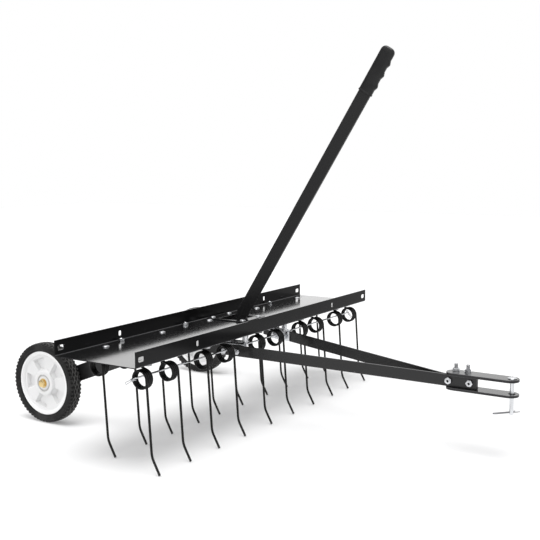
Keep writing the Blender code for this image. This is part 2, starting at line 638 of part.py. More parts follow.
def make_handle():
    """The flat lift handle, its bolt and its moulded grip."""
    top = GRIP_START + GRIP_SOCKET - 0.001
    outline = [(HANDLE_HALF_WIDTH, top), (-HANDLE_HALF_WIDTH, top)]
    outline += arc((0, HANDLE_HALF_WIDTH - HANDLE_TAIL), HANDLE_HALF_WIDTH, 180, 360, 6)
    pivot = (SHAFT_X, HANDLE_Y, SHAFT_HEIGHT)
    turn = (0, HANDLE_LEAN, 0)
    handle = add_part("lift_handle", outline_mesh("lift_handle", outline, HANDLE_THICKNESS), BLACK, pivot, turn)
    holes = bmesh.new()
    add_cylinder(holes, (0, 0, 0), (0, 1, 0), SHAFT_RADIUS + GAP, 0.02, 16)
    add_cylinder(holes, (0, 0, -HANDLE_BOLT_DROP), (0, 1, 0), DRAWBAR_BOLT_RADIUS + GAP, 0.02, 12)
    combine(handle, add_cutter("handle_holes", finish_mesh(holes, "handle_holes"), handle), "DIFFERENCE")

    low = -HANDLE_THICKNESS / 2 - GAP
    high = HANDLE_THICKNESS / 2 + 2 * GAP + LUG_THICKNESS
    radius = DRAWBAR_BOLT_RADIUS
    stations = [(low - 0.006, 0.0072, "hex"), (low, 0.0072, "hex"), (low, radius, "round"),
                (high, radius, "round"), (high, 0.0072, "hex"), (high + 0.0065, 0.0072, "hex"),
                (high + 0.0085, radius, "round")]
    mesh = bolt_mesh("handle_bolt", stations)
    mesh.transform(Matrix.Rotation(-math.pi / 2, 4, "X"))
    x, z = handle_point(-HANDLE_BOLT_DROP)
    add_part("handle_bolt", mesh, ZINC, (x, HANDLE_Y, z))

    grip = [(-GRIP_HALF_WIDTH, GRIP_START)]
    corner = 0.012
    end = GRIP_START + GRIP_LENGTH
    grip += arc((corner - GRIP_HALF_WIDTH, end - corner), corner, 180, 90, 4)
    grip += arc((GRIP_HALF_WIDTH + GRIP_WAVE_HEIGHT - corner, end - corner), corner, 90, 0, 4)
    steps = 3 * GRIP_WAVES
    fall = GRIP_LENGTH - corner - 0.006
    for step in range(1, steps):
        share = step / steps
        wave = (1 + math.cos(2 * math.pi * GRIP_WAVES * share)) / 2
        grip.append((GRIP_HALF_WIDTH + GRIP_WAVE_HEIGHT * wave, end - corner - fall * share))
    grip.append((GRIP_HALF_WIDTH, GRIP_START))
    piece = add_part("grip", outline_mesh("grip", grip, GRIP_THICKNESS), GRIP_RUBBER, pivot, turn)
    edge = piece.modifiers.new("soft_edge", "BEVEL")
    edge.width = 0.004
    edge.segments = 2
    edge.limit_method = "ANGLE"
    edge.angle_limit = math.radians(60)
    socket = bmesh.new()
    add_box(socket, (-HANDLE_HALF_WIDTH - GAP, -HANDLE_THICKNESS / 2 - GAP, GRIP_START - 0.01),
            (HANDLE_HALF_WIDTH + GAP, HANDLE_THICKNESS / 2 + GAP, GRIP_START + GRIP_SOCKET))
    combine(piece, add_cutter("grip_socket", finish_mesh(socket, "grip_socket"), piece), "DIFFERENCE")


def make_handle_bracket():
    """The bracket of the handle: a plate on the tray with two ears down through the window."""
    low = FLOOR_TOP + GAP
    top = low + BRACKET_SHEET
    shape = bmesh.new()
    add_box(shape, (BRACKET_REAR, WINDOW_RIGHT - BRACKET_FLANGE, low),
            (BRACKET_FRONT, WINDOW_LEFT + BRACKET_FLANGE, top))
    bracket = add_part("handle_bracket", finish_mesh(shape, "handle_bracket"), BLACK)
    window = bmesh.new()
    add_box(window, (WINDOW_REAR, WINDOW_RIGHT + BRACKET_SHEET, low - 0.001),
            (WINDOW_FRONT, WINDOW_LEFT - BRACKET_SHEET, top + 0.001))
    combine(bracket, add_cutter("bracket_window", finish_mesh(window, "bracket_window")), "DIFFERENCE")
    eye = 2 * SHAFT_RADIUS
    ear = arc((SHAFT_X, SHAFT_HEIGHT), eye, 180, 360, 8)
    ear += [(SHAFT_X + eye, top - BRACKET_SHEET / 3), (SHAFT_X - eye, top - BRACKET_SHEET / 3)]
    for label, y in (("right", WINDOW_RIGHT + BRACKET_SHEET / 2), ("left", WINDOW_LEFT - BRACKET_SHEET / 2)):
        mesh = outline_mesh(f"ear_{label}", ear, BRACKET_SHEET)
        mesh.transform(Matrix.Translation((0, y, 0)))
        combine(bracket, add_cutter(f"ear_{label}", mesh), "UNION")
    stations = [(TRAY_UNDERSIDE - 0.003, STUD_RADIUS, "round"), (top - 0.001, STUD_RADIUS, "round"),
                (top - 0.001, 0.0066, "hex"), (top + 0.0055, 0.0066, "hex"), (top + 0.009, STUD_RADIUS, "round")]
    for x in (STUD_REAR_X, STUD_FRONT_X):
        for y in (STUD_RIGHT_Y, STUD_LEFT_Y):
            name = f"bracket_stud_{round(x * 1000)}_{round(y * 1000)}"
            mesh = bolt_mesh(name, stations, 6)
            mesh.transform(Matrix.Translation((x, y, 0)))
            combine(bracket, add_cutter(name, mesh), "UNION")
    holes = bmesh.new()
    add_cylinder(holes, (SHAFT_X, (WINDOW_RIGHT + WINDOW_LEFT) / 2, SHAFT_HEIGHT), (0, 1, 0),
                 SHAFT_RADIUS + 2 * GAP, 0.12, 12)
    combine(bracket, add_cutter("bracket_bore", finish_mesh(holes, "bracket_bore")), "DIFFERENCE")


def make_hangers():
    """Three strap hangers that hold the shaft up against the tray, each with two studs."""
    flange = TRAY_UNDERSIDE - GAP - HANGER_THICKNESS / 2
    round_shaft = SHAFT_RADIUS + GAP + HANGER_THICKNESS / 2
    path = [(HANGER_REAR_STUD - 0.009, flange), (SHAFT_X - 0.016, flange)]
    path += arc((SHAFT_X, SHAFT_HEIGHT), round_shaft, 190, 350, 6)
    path += [(SHAFT_X + 0.016, flange), (HANGER_FRONT_STUD + 0.009, flange)]
    outline = ribbon(path, HANGER_THICKNESS)
    rear = [(flange, STUD_RADIUS, "round"), (FLOOR_TOP + GAP, STUD_RADIUS, "round"),
            (FLOOR_TOP + GAP, 0.0072, "hex"), (FLOOR_TOP + 0.0056, 0.0072, "hex"),
            (FLOOR_TOP + 0.0068, STUD_RADIUS, "round")]
    front = [(flange, STUD_RADIUS, "round"), (FLOOR_TOP + GAP, STUD_RADIUS, "round"),
             (FLOOR_TOP + GAP, 0.0065, "round"), (FLOOR_TOP + 0.002, 0.005, "round")]
    for number, y in enumerate(HANGER_YS, 1):
        name = f"shaft_hanger_{number}"
        mesh = outline_mesh(name, outline, HANGER_WIDTH)
        hanger = add_part(name, mesh, ZINC, (0, y, 0))
        for label, x, stations in (("rear", HANGER_REAR_STUD, rear), ("front", HANGER_FRONT_STUD, front)):
            stud = bolt_mesh(f"{name}_{label}", stations, 6)
            stud.transform(Matrix.Translation((x, 0, 0)))
            combine(hanger, add_cutter(f"{name}_{label}", stud, hanger), "UNION")


def hub_profile():
    """The closed section of a hub as (radius, distance outwards) points."""
    inner_end = -(WHEEL_Y - ARM_OUTER_Y - GAP)
    bore = AXLE_RADIUS + GAP
    rim = TYRE_BEAD_RADIUS - GAP
    return [(bore, inner_end), (0.016, inner_end), (0.016, -HUB_WEB_BACK), (0.068, -HUB_WEB_BACK),
            (0.068, -HUB_HALF_WIDTH), (rim, -HUB_HALF_WIDTH), (rim, HUB_HALF_WIDTH),
            (0.0695, HUB_HALF_WIDTH), (0.068, HUB_WEB_FACE), (0.028, HUB_WEB_FACE),
            (0.025, HUB_HALF_WIDTH), (bore, HUB_HALF_WIDTH)]


def pocket_outline(middle):
    """A pocket between two spokes, as (u, v) points about the hub's axis."""
    wide = 17
    narrow = 15
    angle = math.degrees(middle)
    points = arc((0, 0), POCKET_OUTER, angle - wide, angle + wide, 3)
    points += arc((0, 0), POCKET_INNER, angle + narrow, angle - narrow, 2)
    return points


def tyre_mesh(name):
    """A tyre ring whose tread has two rows of lugs, one row half a lug behind the other."""
    shoulder = WHEEL_RADIUS - 0.0045
    rows = []
    for index in range(4 * TREAD_LUGS):
        first = WHEEL_RADIUS if index % 4 < 2 else WHEEL_RADIUS - TREAD_DEPTH
        second = WHEEL_RADIUS - TREAD_DEPTH if index % 4 < 2 else WHEEL_RADIUS
        rows.append([(TYRE_BEAD_RADIUS, -0.0155), (shoulder, -TYRE_HALF_WIDTH), (first, -0.0150),
                     (first, -0.0015), (second, 0.0015), (second, 0.0150),
                     (shoulder, TYRE_HALF_WIDTH), (TYRE_BEAD_RADIUS, 0.0155)])
    shape = bmesh.new()
    rings = []
    for index, row in enumerate(rows):
        angle = 2 * math.pi * index / len(rows) - math.pi / 2
        rings.append([shape.verts.new((radius * math.cos(angle), along, radius * math.sin(angle)))
                      for radius, along in row])
    for index, ring in enumerate(rings):
        after = rings[(index + 1) % len(rings)]
        for place in range(len(ring)):
            beside = (place + 1) % len(ring)
            shape.faces.new((ring[place], ring[beside], after[beside], after[place]))
    return finish_mesh(shape, name)


def make_wheels():
    """Two plastic wheels with rubber tyres, each on an axle bolt through its arm."""
    head = HUB_HALF_WIDTH + GAP
    inner = -(WHEEL_Y - ARM_INNER_Y + GAP)
    axle = [(inner - 0.008, 0.0105, "hex"), (inner, 0.0105, "hex"), (inner, AXLE_RADIUS, "round"),
            (head, AXLE_RADIUS, "round"), (head, 0.0115, "round"), (head + 0.0014, 0.0115, "round"),
            (head + 0.0014, 0.0092, "hex"), (head + 0.0080, 0.0092, "hex")]
    for side, label in ((-1, "right"), (1, "left")):
        place = (WHEEL_X, side * WHEEL_Y, WHEEL_RADIUS)
        outwards = Matrix.Rotation(-side * math.pi / 2, 4, "X")
        hub_mesh = turned_mesh(f"hub_{label}", hub_profile(), 22)
        hub_mesh.transform(outwards)
        hub = add_part(f"hub_{label}", hub_mesh, WHITE_PLASTIC, place)
        for face, depth in ((HUB_WEB_FACE, POCKET_DEPTH), (-HUB_WEB_BACK, POCKET_DEPTH)):
            for number in range(POCKETS):
                middle = side * -1 * (POCKET_START + 2 * math.pi * number / POCKETS)
                mesh = outline_mesh("pocket", pocket_outline(middle), 2 * depth, Matrix.Identity(4))
                mesh.transform(Matrix.Translation((0, 0, face)))
                mesh.transform(outwards)
                side_name = "face" if face > 0 else "back"
                tool = add_cutter(f"pocket_{label}_{side_name}_{number}", mesh, hub)
                combine(hub, tool, "DIFFERENCE")
        add_part(f"tyre_{label}", tyre_mesh(f"tyre_{label}"), RUBBER, place)
        mesh = bolt_mesh(f"axle_bolt_{label}", axle)
        mesh.transform(outwards)
        add_part(f"axle_bolt_{label}", mesh, GOLD_ZINC, place)


def bar_path(side):
    """The middle line of a drawbar as (x, y, height) points. The right bar lies outside the left one."""
    stack = BAR_THICKNESS / 2 + GAP / 2
    front_y = BAR_FRONT_Y + side * stack
    return [Vector((BAR_REAR_X, side * BAR_REAR_Y, BAR_REAR_HEIGHT)),
            Vector((BAR_BEND_X, front_y, BAR_FRONT_HEIGHT)),
            Vector((BAR_END_X, front_y, BAR_FRONT_HEIGHT))]


def bar_frame(side):
    """The heading of a drawbar's long run in plan, and its Y at a given X."""
    rear, bend = bar_path(side)[:2]
    slope = (bend.y - rear.y) / (bend.x - rear.x)

    def y_at(x):
        return rear.y + slope * (x - rear.x)

    return math.atan(slope), y_at


def bar_height(x):
    """The height of the drawbars' middle line at a given X."""
    return BAR_FRONT_HEIGHT + BAR_SLOPE * (BAR_BEND_X - x)


def shoulder_bolt_place(x, side, height):
    """Where a shoulder bolt of a hitch bracket stands."""
    heading, y_at = bar_frame(side)
    inward = SHOULDER_BOLT_INSET / math.cos(heading)
    return (x, y_at(x) - side * inward, height)


def drawbar_bolt_place(x, side):
    """Where a bolt through a drawbar and its bracket crosses the bar's middle."""
    y_at = bar_frame(side)[1]
    return (x, y_at(x), DRAWBAR_BOLT_HEIGHT)


def make_drawbars():
    """Two flat bars on edge that meet between the clevis straps."""
    for side, label in ((-1, "right"), (1, "left")):
        heading = bar_frame(side)[0]
        plan = ribbon([(point.x, point.y) for point in bar_path(side)], BAR_THICKNESS)
        mesh = outline_mesh(f"drawbar_{label}", plan, 2 * BAR_HALF_HEIGHT, Matrix.Identity(4))
        for vertex in mesh.vertices:
            vertex.co.z += bar_height(min(vertex.co.x, BAR_BEND_X))
        bar = add_part(f"drawbar_{label}", mesh, BLACK)
        holes = bmesh.new()
        across = (-math.sin(heading), math.cos(heading), 0)
        for x in DRAWBAR_BOLT_XS:
            add_cylinder(holes, drawbar_bolt_place(x, side), across, DRAWBAR_BOLT_RADIUS + GAP, 0.03, 12)
        add_cylinder(holes, (ROD_X, side * BAR_REAR_Y, ROD_HEIGHT), (0, 1, 0), ROD_RADIUS + 2 * GAP, 0.1, 8)
        for x in BAR_BOLT_XS:
            add_cylinder(holes, (x, BAR_FRONT_Y, BAR_FRONT_HEIGHT), (0, 1, 0), STRAP_BOLT_RADIUS + GAP, 0.03, 12)
        name = f"drawbar_{label}_holes"
        combine(bar, add_cutter(name, finish_mesh(holes, name)), "DIFFERENCE")


def make_hitch_brackets():
    """Angle brackets under the tray that carry the drawbars, with their bolts."""
    half = HITCH_BRACKET_SHEET / 2
    middle_x = (HITCH_BRACKET_REAR + HITCH_BRACKET_FRONT) / 2
    length = HITCH_BRACKET_FRONT - HITCH_BRACKET_REAR
    wall = BAR_THICKNESS / 2 + GAP + half
    path = [(-wall, HITCH_BRACKET_BOTTOM), (-wall, HITCH_BRACKET_TOP - half),
            (-wall - HITCH_TONGUE, HITCH_BRACKET_TOP - half)]
    flange_top = HITCH_BRACKET_TOP + GAP
    flange_low = HITCH_BRACKET_TOP - HITCH_BRACKET_SHEET - GAP
    collar = TRAY_UNDERSIDE - GAP
    radius = DRAWBAR_BOLT_RADIUS
    shoulder = [(flange_low - 0.0060, 0.0072, "hex"), (flange_low, 0.0072, "hex"), (flange_low, radius, "round"),
                (flange_top, radius, "round"), (flange_top, 0.0070, "round"), (collar, 0.0070, "round"),
                (collar, radius, "round"), (FLOOR_TOP + GAP, radius, "round"),
                (FLOOR_TOP + GAP, 0.0078, "hex"), (FLOOR_TOP + 0.0062, 0.0078, "hex")]
    outer = BAR_THICKNESS / 2 + GAP
    inner = BAR_THICKNESS / 2 + 2 * GAP + HITCH_BRACKET_SHEET
    nut = DRAWBAR_NUT_RADIUS
    cross = [(-inner - 0.0060, nut, "hex"), (-inner, nut, "hex"), (-inner, radius, "round"),
             (outer, radius, "round"), (outer, nut, "hex"), (outer + 0.0065, nut, "hex"),
             (outer + 0.0090, radius, "round")]
    for side, label in ((-1, "right"), (1, "left")):
        heading, y_at = bar_frame(side)
        outline = [(side * u, v) for u, v in ribbon(path, HITCH_BRACKET_SHEET)]
        across = Matrix(((0, 0, 1, 0), (1, 0, 0, 0), (0, 1, 0, 0), (0, 0, 0, 1)))
        mesh = outline_mesh(f"hitch_bracket_{label}", outline, length, across)
        if side < 0:
            mesh.flip_normals()
        place = (middle_x, y_at(middle_x), 0)
        bracket = add_part(f"hitch_bracket_{label}", mesh, ZINC, place, (0, 0, heading))
        holes = bmesh.new()
        normal = (-math.sin(heading), math.cos(heading), 0)
        for x in DRAWBAR_BOLT_XS:
            add_cylinder(holes, drawbar_bolt_place(x, side), normal, radius + GAP, 0.03, 12)
        for x in SHOULDER_BOLT_XS:
            add_cylinder(holes, shoulder_bolt_place(x, side, HITCH_BRACKET_TOP), (0, 0, 1), radius + GAP, 0.02, 12)
        add_cylinder(holes, (ROD_X, side * BAR_REAR_Y, ROD_HEIGHT), (0, 1, 0), ROD_RADIUS + 2 * GAP, 0.1, 8)
        name = f"hitch_bracket_{label}_holes"
        combine(bracket, add_cutter(name, finish_mesh(holes, name)), "DIFFERENCE")
        for number, x in enumerate(SHOULDER_BOLT_XS, 1):
            name = f"shoulder_bolt_{label}_{number}"
            add_part(name, bolt_mesh(name, shoulder), ZINC, shoulder_bolt_place(x, side, 0))
        for number, x in enumerate(DRAWBAR_BOLT_XS, 1):
            name = f"drawbar_bolt_{label}_{number}"
            mesh = bolt_mesh(name, cross)
            mesh.transform(Matrix.Rotation(-side * math.pi / 2, 4, "X"))
            mesh.transform(Matrix.Rotation(heading, 4, "Z"))
            add_part(name, mesh, ZINC, drawbar_bolt_place(x, side))


def make_clevis():
    """Two straps with round ends over and under the drawbars' ends, with their bolts."""
    outline = arc((STRAP_FRONT, 0), STRAP_HALF_WIDTH, -90, 90, 8)
    outline += arc((STRAP_REAR, 0), STRAP_HALF_WIDTH, 90, 270, 4)
    for label, low in (("upper", BAR_TOP + GAP), ("lower", LOWER_STRAP_BOTTOM)):
        name = f"hitch_strap_{label}"
        mesh = outline_mesh(name, outline, STRAP_THICKNESS, Matrix.Identity(4))
        strap = add_part(name, mesh, BLACK, (0, 0, low + STRAP_THICKNESS / 2))
        holes = bmesh.new()
        add_cylinder(holes, (STRAP_FRONT, 0, 0), (0, 0, 1), PIN_BORE_RADIUS, 0.02, 14)
        for x in STRAP_BOLT_XS:
            add_cylinder(holes, (x, STRAP_BOLT_Y, 0), (0, 0, 1), STRAP_BOLT_RADIUS + GAP, 0.02, 12)
        combine(strap, add_cutter(f"{name}_holes", finish_mesh(holes, name), strap), "DIFFERENCE")
    radius = STRAP_BOLT_RADIUS
    low = LOWER_STRAP_BOTTOM - GAP
    top = UPPER_STRAP_TOP + GAP
    upright = [(low - 0.0045, 0.0070, "hex"), (low, 0.0070, "hex"), (low, radius, "round"),
               (top, radius, "round"), (top, 0.0075, "hex"), (top + 0.0070, 0.0075, "hex"),
               (top + 0.0075, radius, "round"), (top + 0.0170, radius, "round")]
    for number, x in enumerate(STRAP_BOLT_XS, 1):
        name = f"strap_bolt_{number}"
        add_part(name, bolt_mesh(name, upright), ZINC, (x, STRAP_BOLT_Y, 0))
    reach = BAR_THICKNESS + 1.5 * GAP
    crossways = [(-reach - 0.0024, 0.0045, "round"), (-reach, 0.0075, "round"), (-reach, radius, "round"),
                 (reach, radius, "round"), (reach, 0.0078, "hex"), (reach + 0.0060, 0.0078, "hex"),
                 (reach + 0.0078, radius, "round")]
    for number, x in enumerate(BAR_BOLT_XS, 1):
        name = f"bar_bolt_{number}"
        mesh = bolt_mesh(name, crossways)
        mesh.transform(Matrix.Rotation(math.pi / 2, 4, "X"))
        add_part(name, mesh, ZINC, (x, BAR_FRONT_Y, BAR_FRONT_HEIGHT))


def make_hitch_pin():
    """The drop pin of the clevis and the hair clip through its lower end."""
    seat = UPPER_STRAP_TOP + GAP
    low = LOWER_STRAP_BOTTOM - PIN_BELOW_STRAP
    head = PIN_BORE_RADIUS + 0.002
    stations = [(low, PIN_RADIUS * 0.6, "round"), (low + 0.002, PIN_RADIUS, "round"),
                (seat, PIN_RADIUS, "round"), (seat, head, "round"), (seat + 0.0010, PIN_HEAD_RADIUS, "round"),
                (seat + 0.0022, PIN_HEAD_RADIUS, "round"), (seat + PIN_HEAD_HEIGHT, head * 0.8, "round")]
    place = (STRAP_FRONT, 0, 0)
    pin = add_part("hitch_pin", bolt_mesh("hitch_pin", stations), ZINC, place)
    height = LOWER_STRAP_BOTTOM - PIN_CLIP_DROP
    along = (math.cos(PIN_CLIP_TURN), math.sin(PIN_CLIP_TURN), 0)
    hole = bmesh.new()
    add_cylinder(hole, (STRAP_FRONT, 0, height), along, PIN_CLIP_WIRE_RADIUS + GAP, 0.03, 8)
    combine(pin, add_cutter("hitch_pin_hole", finish_mesh(hole, "hitch_pin_hole")), "DIFFERENCE")
    points = [(x, -y, z) for x, y, z in clip_points(PIN_RADIUS, PIN_CLIP_WIRE_RADIUS, PIN_CLIP_LENGTH)]
    mesh = wire_mesh("hitch_pin_clip", points, PIN_CLIP_WIRE_RADIUS)
    mesh.transform(Matrix.Rotation(math.pi + PIN_CLIP_TURN, 4, "Z"))
    add_part("hitch_pin_clip", mesh, ZINC, (STRAP_FRONT, 0, height))


make_tray()
make_tines()
make_rod()
make_lift_frame()
make_handle()
make_handle_bracket()
make_hangers()
make_wheels()
make_drawbars()
make_hitch_brackets()
make_clevis()
make_hitch_pin()
print("Least gap between the curls of one coil, in mm:", round(coil_self_gap() * 1000, 2))
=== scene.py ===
"""The tow-behind dethatcher in a white studio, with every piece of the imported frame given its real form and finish.

Lengths are metres. +X points forward to the hitch, +Y to the left and +Z up, and the ground is z = 0.
Positions along X are measured from the outer face of the tray's rear lip, as in the part's source.
"""

from math import atan2, copysign, cos, degrees, pi, radians, sin, sqrt, tan

import bmesh
import bpy
from mathutils import Matrix, Vector


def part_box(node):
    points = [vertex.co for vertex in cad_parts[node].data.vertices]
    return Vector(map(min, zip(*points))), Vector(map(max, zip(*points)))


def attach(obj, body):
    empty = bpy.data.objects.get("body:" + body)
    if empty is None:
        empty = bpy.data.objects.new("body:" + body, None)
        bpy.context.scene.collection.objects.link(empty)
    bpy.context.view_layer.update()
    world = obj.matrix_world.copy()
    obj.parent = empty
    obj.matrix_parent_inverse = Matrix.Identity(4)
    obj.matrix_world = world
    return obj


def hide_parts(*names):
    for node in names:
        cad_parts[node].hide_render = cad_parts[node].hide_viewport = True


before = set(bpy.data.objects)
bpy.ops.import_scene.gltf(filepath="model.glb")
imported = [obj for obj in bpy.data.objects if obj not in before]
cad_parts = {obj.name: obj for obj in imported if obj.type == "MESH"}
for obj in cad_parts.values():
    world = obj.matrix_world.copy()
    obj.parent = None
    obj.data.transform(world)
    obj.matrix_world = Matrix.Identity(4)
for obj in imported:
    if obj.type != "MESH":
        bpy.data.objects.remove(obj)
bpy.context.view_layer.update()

REAR_LIP = Vector((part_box("tray")[0].x, 0, 0))

# Camera
# The photograph was taken from the front right with a long lens, a little above the tray.
put_in_scene = bpy.context.scene.collection.objects.link
camera = bpy.data.objects.new("camera", bpy.data.cameras.new("camera"))
camera.location = (1.1117, -1.8376, 0.6302)
camera.rotation_mode = "QUATERNION"
camera.rotation_quaternion = Vector((-0.52647, 0.84137, -0.12219)).to_track_quat("-Z", "Y")
camera.data.sensor_width = 36
camera.data.lens = 60.31
camera.data.shift_x = 0.0006
camera.data.shift_y = 0.0022
put_in_scene(camera)
bpy.context.scene.camera = camera

# Studio
# A white room with a pale floor, lit softly all round, most from above and a little from the camera's side. Two darker
# walls, to the left and to the far right, give the bright metal its grey edges, and a brighter one stands behind.
WHITE = (1, 1, 1, 1)
AMBIENT = (0.68, 0.68, 0.685, 1)
FLOOR_SIZE = 8.0
FLOOR_DIFFUSE = (0.88, 0.88, 0.88, 1)
FLOOR_GLOW = 1.3
FLOOR_GLOW_SHARE = 0.14
FLOOR_END = (0.7, 1.7)
CEILING = (0.25, 0.75)
# The level way to each wall, how nearly a ray must point there for the wall to begin and to be full, and its light
WALLS = (((-0.8, -0.6, 0), 0.8, 0.99, -0.62), ((0.72, 0.69, 0), 0.72, 0.98, -0.32),
         ((-0.53, 0.85, 0), 0.86, 0.99, 0.18))
# Each lamp's strength, its width in degrees and the way it shines
LAMPS = {"top_light": (1.85, 38, (-0.06, 0.2, -1)), "side_fill": (1.05, 50, (0.6, 0.72, -0.35))}


class Field:
    """A value in a shader's node tree that takes part in sums as a number does."""

    def __init__(self, tree, socket=None):
        self.tree = tree
        self.socket = socket

    def node(self, kind, inputs, output=0, **settings):
        """Any shader node, from its type, what goes into it and its settings."""
        made = self.tree.nodes.new("ShaderNode" + kind)
        for name, value in settings.items():
            setattr(made, name, value)
        for name, value in inputs.items():
            if isinstance(value, Field):
                self.tree.links.new(value.socket, made.inputs[name])
            else:
                made.inputs[name].default_value = value
        return Field(self.tree, made.outputs[output])

    def maths(self, operation, *values):
        return self.node("Math", dict(enumerate(values)), operation=operation)

    def vector(self, operation, *others, output=0):
        return self.node("VectorMath", dict(enumerate((self, *others))), output, operation=operation)

    def __add__(self, other):
        return self.maths("ADD", self, other)

    def __sub__(self, other):
        return self.maths("SUBTRACT", self, other)

    def __rsub__(self, other):
        return self.maths("SUBTRACT", other, self)

    def __mul__(self, other):
        return self.maths("MULTIPLY", self, other)

    def __pow__(self, other):
        return self.maths("POWER", self, other)

    __radd__ = __add__
    __rmul__ = __mul__

    def step(self, low, high):
        """0 below one value, 1 above another and a smooth rise between them."""
        return self.node("MapRange", {"Value": self, "From Min": low, "From Max": high},
                         interpolation_type="SMOOTHSTEP")

    def noise(self, scale, detail=2.0):
        """Fine noise over a place."""
        return self.node("TexNoise", {"Vector": self, "Scale": scale, "Detail": detail})

    def between(self, first, second):
        """A colour between two others."""
        return self.node("Mix", {0: self, 6: first, 7: second}, 2, data_type="RGBA")


def walls(direction):
    """How bright the room is in a level direction, for what is mirrored in the metal."""
    level = direction.vector("MULTIPLY", (1, 1, 0)).vector("NORMALIZE")
    light = 1
    for heading, begins, full, change in WALLS:
        light = light + level.vector("DOT_PRODUCT", heading, output="Value").step(begins, full) * change
    return light


world = bpy.data.worlds.new("studio")
bpy.context.scene.world = world
world.use_nodes = True
tree = world.node_tree
start = Field(tree)
direction = start.node("TexCoord", {}, "Generated")
height = start.node("SeparateXYZ", {"Vector": direction}, "Z")
mirrored = height.step(*CEILING).between(walls(direction), WHITE)
room = start.node("LightPath", {}, "Is Glossy Ray").between(AMBIENT, mirrored)
backdrop = start.node("LightPath", {}, "Is Camera Ray").between(room, WHITE)
tree.links.new(backdrop.socket, tree.nodes["Background"].inputs["Color"])
tree.nodes["Background"].inputs["Strength"].default_value = 1
bpy.context.scene.view_settings.view_transform = "Standard"

shape = bmesh.new()
bmesh.ops.create_grid(shape, x_segments=8, y_segments=8, size=FLOOR_SIZE)
floor_mesh = bpy.data.meshes.new("floor")
shape.to_mesh(floor_mesh)
shape.free()
floor = bpy.data.objects.new("floor", floor_mesh)
put_in_scene(floor)
paper = bpy.data.materials.new("paper")
paper.use_nodes = True
tree = paper.node_tree
tree.nodes.remove(tree.nodes["Principled BSDF"])
spot = Field(tree).node("NewGeometry", {}, "Position")
glossy = spot.node("LightPath", {}, "Is Glossy Ray")
far = spot.vector("LENGTH", output="Value").step(*FLOOR_END)
matte = spot.node("BsdfDiffuse", {"Color": FLOOR_DIFFUSE})
glow = spot.node("Emission", {"Color": WHITE, "Strength": FLOOR_GLOW})
both = spot.node("MixShader", {0: FLOOR_GLOW_SHARE, 1: matte, 2: glow})
wall = spot.node("Emission", {"Color": WHITE, "Strength": walls(spot)})
paper_shader = spot.node("MixShader", {0: glossy * far, 1: both, 2: wall})
tree.links.new(paper_shader.socket, tree.nodes["Material Output"].inputs["Surface"])
floor_mesh.materials.append(paper)

for name, (strength, width, heading) in LAMPS.items():
    lamp = bpy.data.lights.new(name, "SUN")
    lamp.energy = strength
    lamp.angle = radians(width)
    holder = bpy.data.objects.new(name, lamp)
    holder.rotation_euler = Vector(heading).to_track_quat("-Z", "Y").to_euler()
    holder.visible_glossy = name == "top_light"
    put_in_scene(holder)

# Tray
# One 2 mm sheet folded up along both long sides, punched and powder coated in semi-gloss black.
tray_low, tray_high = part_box("tray")
TRAY_LENGTH = tray_high.y - tray_low.y
TRAY_DEPTH = tray_high.x - tray_low.x
TRAY_SHEET = 0.002
UNDERSIDE = tray_low.z
TRAY_TOP = tray_high.z
FLOOR_TOP = UNDERSIDE + TRAY_SHEET
FOLD_RADIUS = 0.004
END_HOLE = (0.018, 0.0105)
END_HOLE_CORNER = 0.0034
END_HOLE_INSET = 0.017
LIP_SLOT = (0.0094, 0.0115)
LIP_SLOT_CORNER = 0.0028
LIP_SLOT_Y = 0.305
KEEPER_SLOT = (0.002, 0.01)
KEEPER_SLOT_CORNER = 0.0009
KEEPER_SLOT_Y = 0.026
WINDOW_MIDDLE = (0.06925, 0.0695)
WINDOW = (0.0637, 0.0862)
WINDOW_CORNER = 0.002
GAP = 0.0003
HOLE_GAP = 0.0004
# The lighter coat colour of rubbed edges and dust, and of the painted highlight on the folds
RUBBED_AND_HIGHLIGHT_COAT = (0.09, 0.09, 0.094, 1)
PEEL_RELIEF = 0.000002


def new_finish(name, roughness, metallic=0.0, specular=0.5):
    """A Principled material with its even values set, and the point of the piece that is being shaded."""
    finish = bpy.data.materials.new(name)
    finish.use_nodes = True
    tree = finish.node_tree
    shader = tree.nodes["Principled BSDF"]
    for label, value in (("Roughness", roughness), ("Metallic", metallic), ("Specular IOR Level", specular)):
        shader.inputs[label].default_value = value
    return finish, Field(tree).node("TexCoord", {}, "Object")


def dress(finish, colour, roughness, height, relief):
    """Feed a material its colour, roughness and relief in metres."""
    tree = finish.node_tree
    shader = tree.nodes["Principled BSDF"]
    tree.links.new(colour.socket, shader.inputs["Base Color"])
    tree.links.new(roughness.socket, shader.inputs["Roughness"])
    bump = height.node("Bump", {"Strength": 1.0, "Distance": relief, "Height": height})
    tree.links.new(bump.socket, shader.inputs["Normal"])
    return finish


def edge_of(point, width):
    """Near 1 on a convex or concave edge of the piece, and 0 on its flats."""
    eased = point.node("Bevel", {"Radius": width}, samples=4)
    flat = point.node("NewGeometry", {}, "Normal")
    return 1 - eased.vector("DOT_PRODUCT", flat, output="Value")


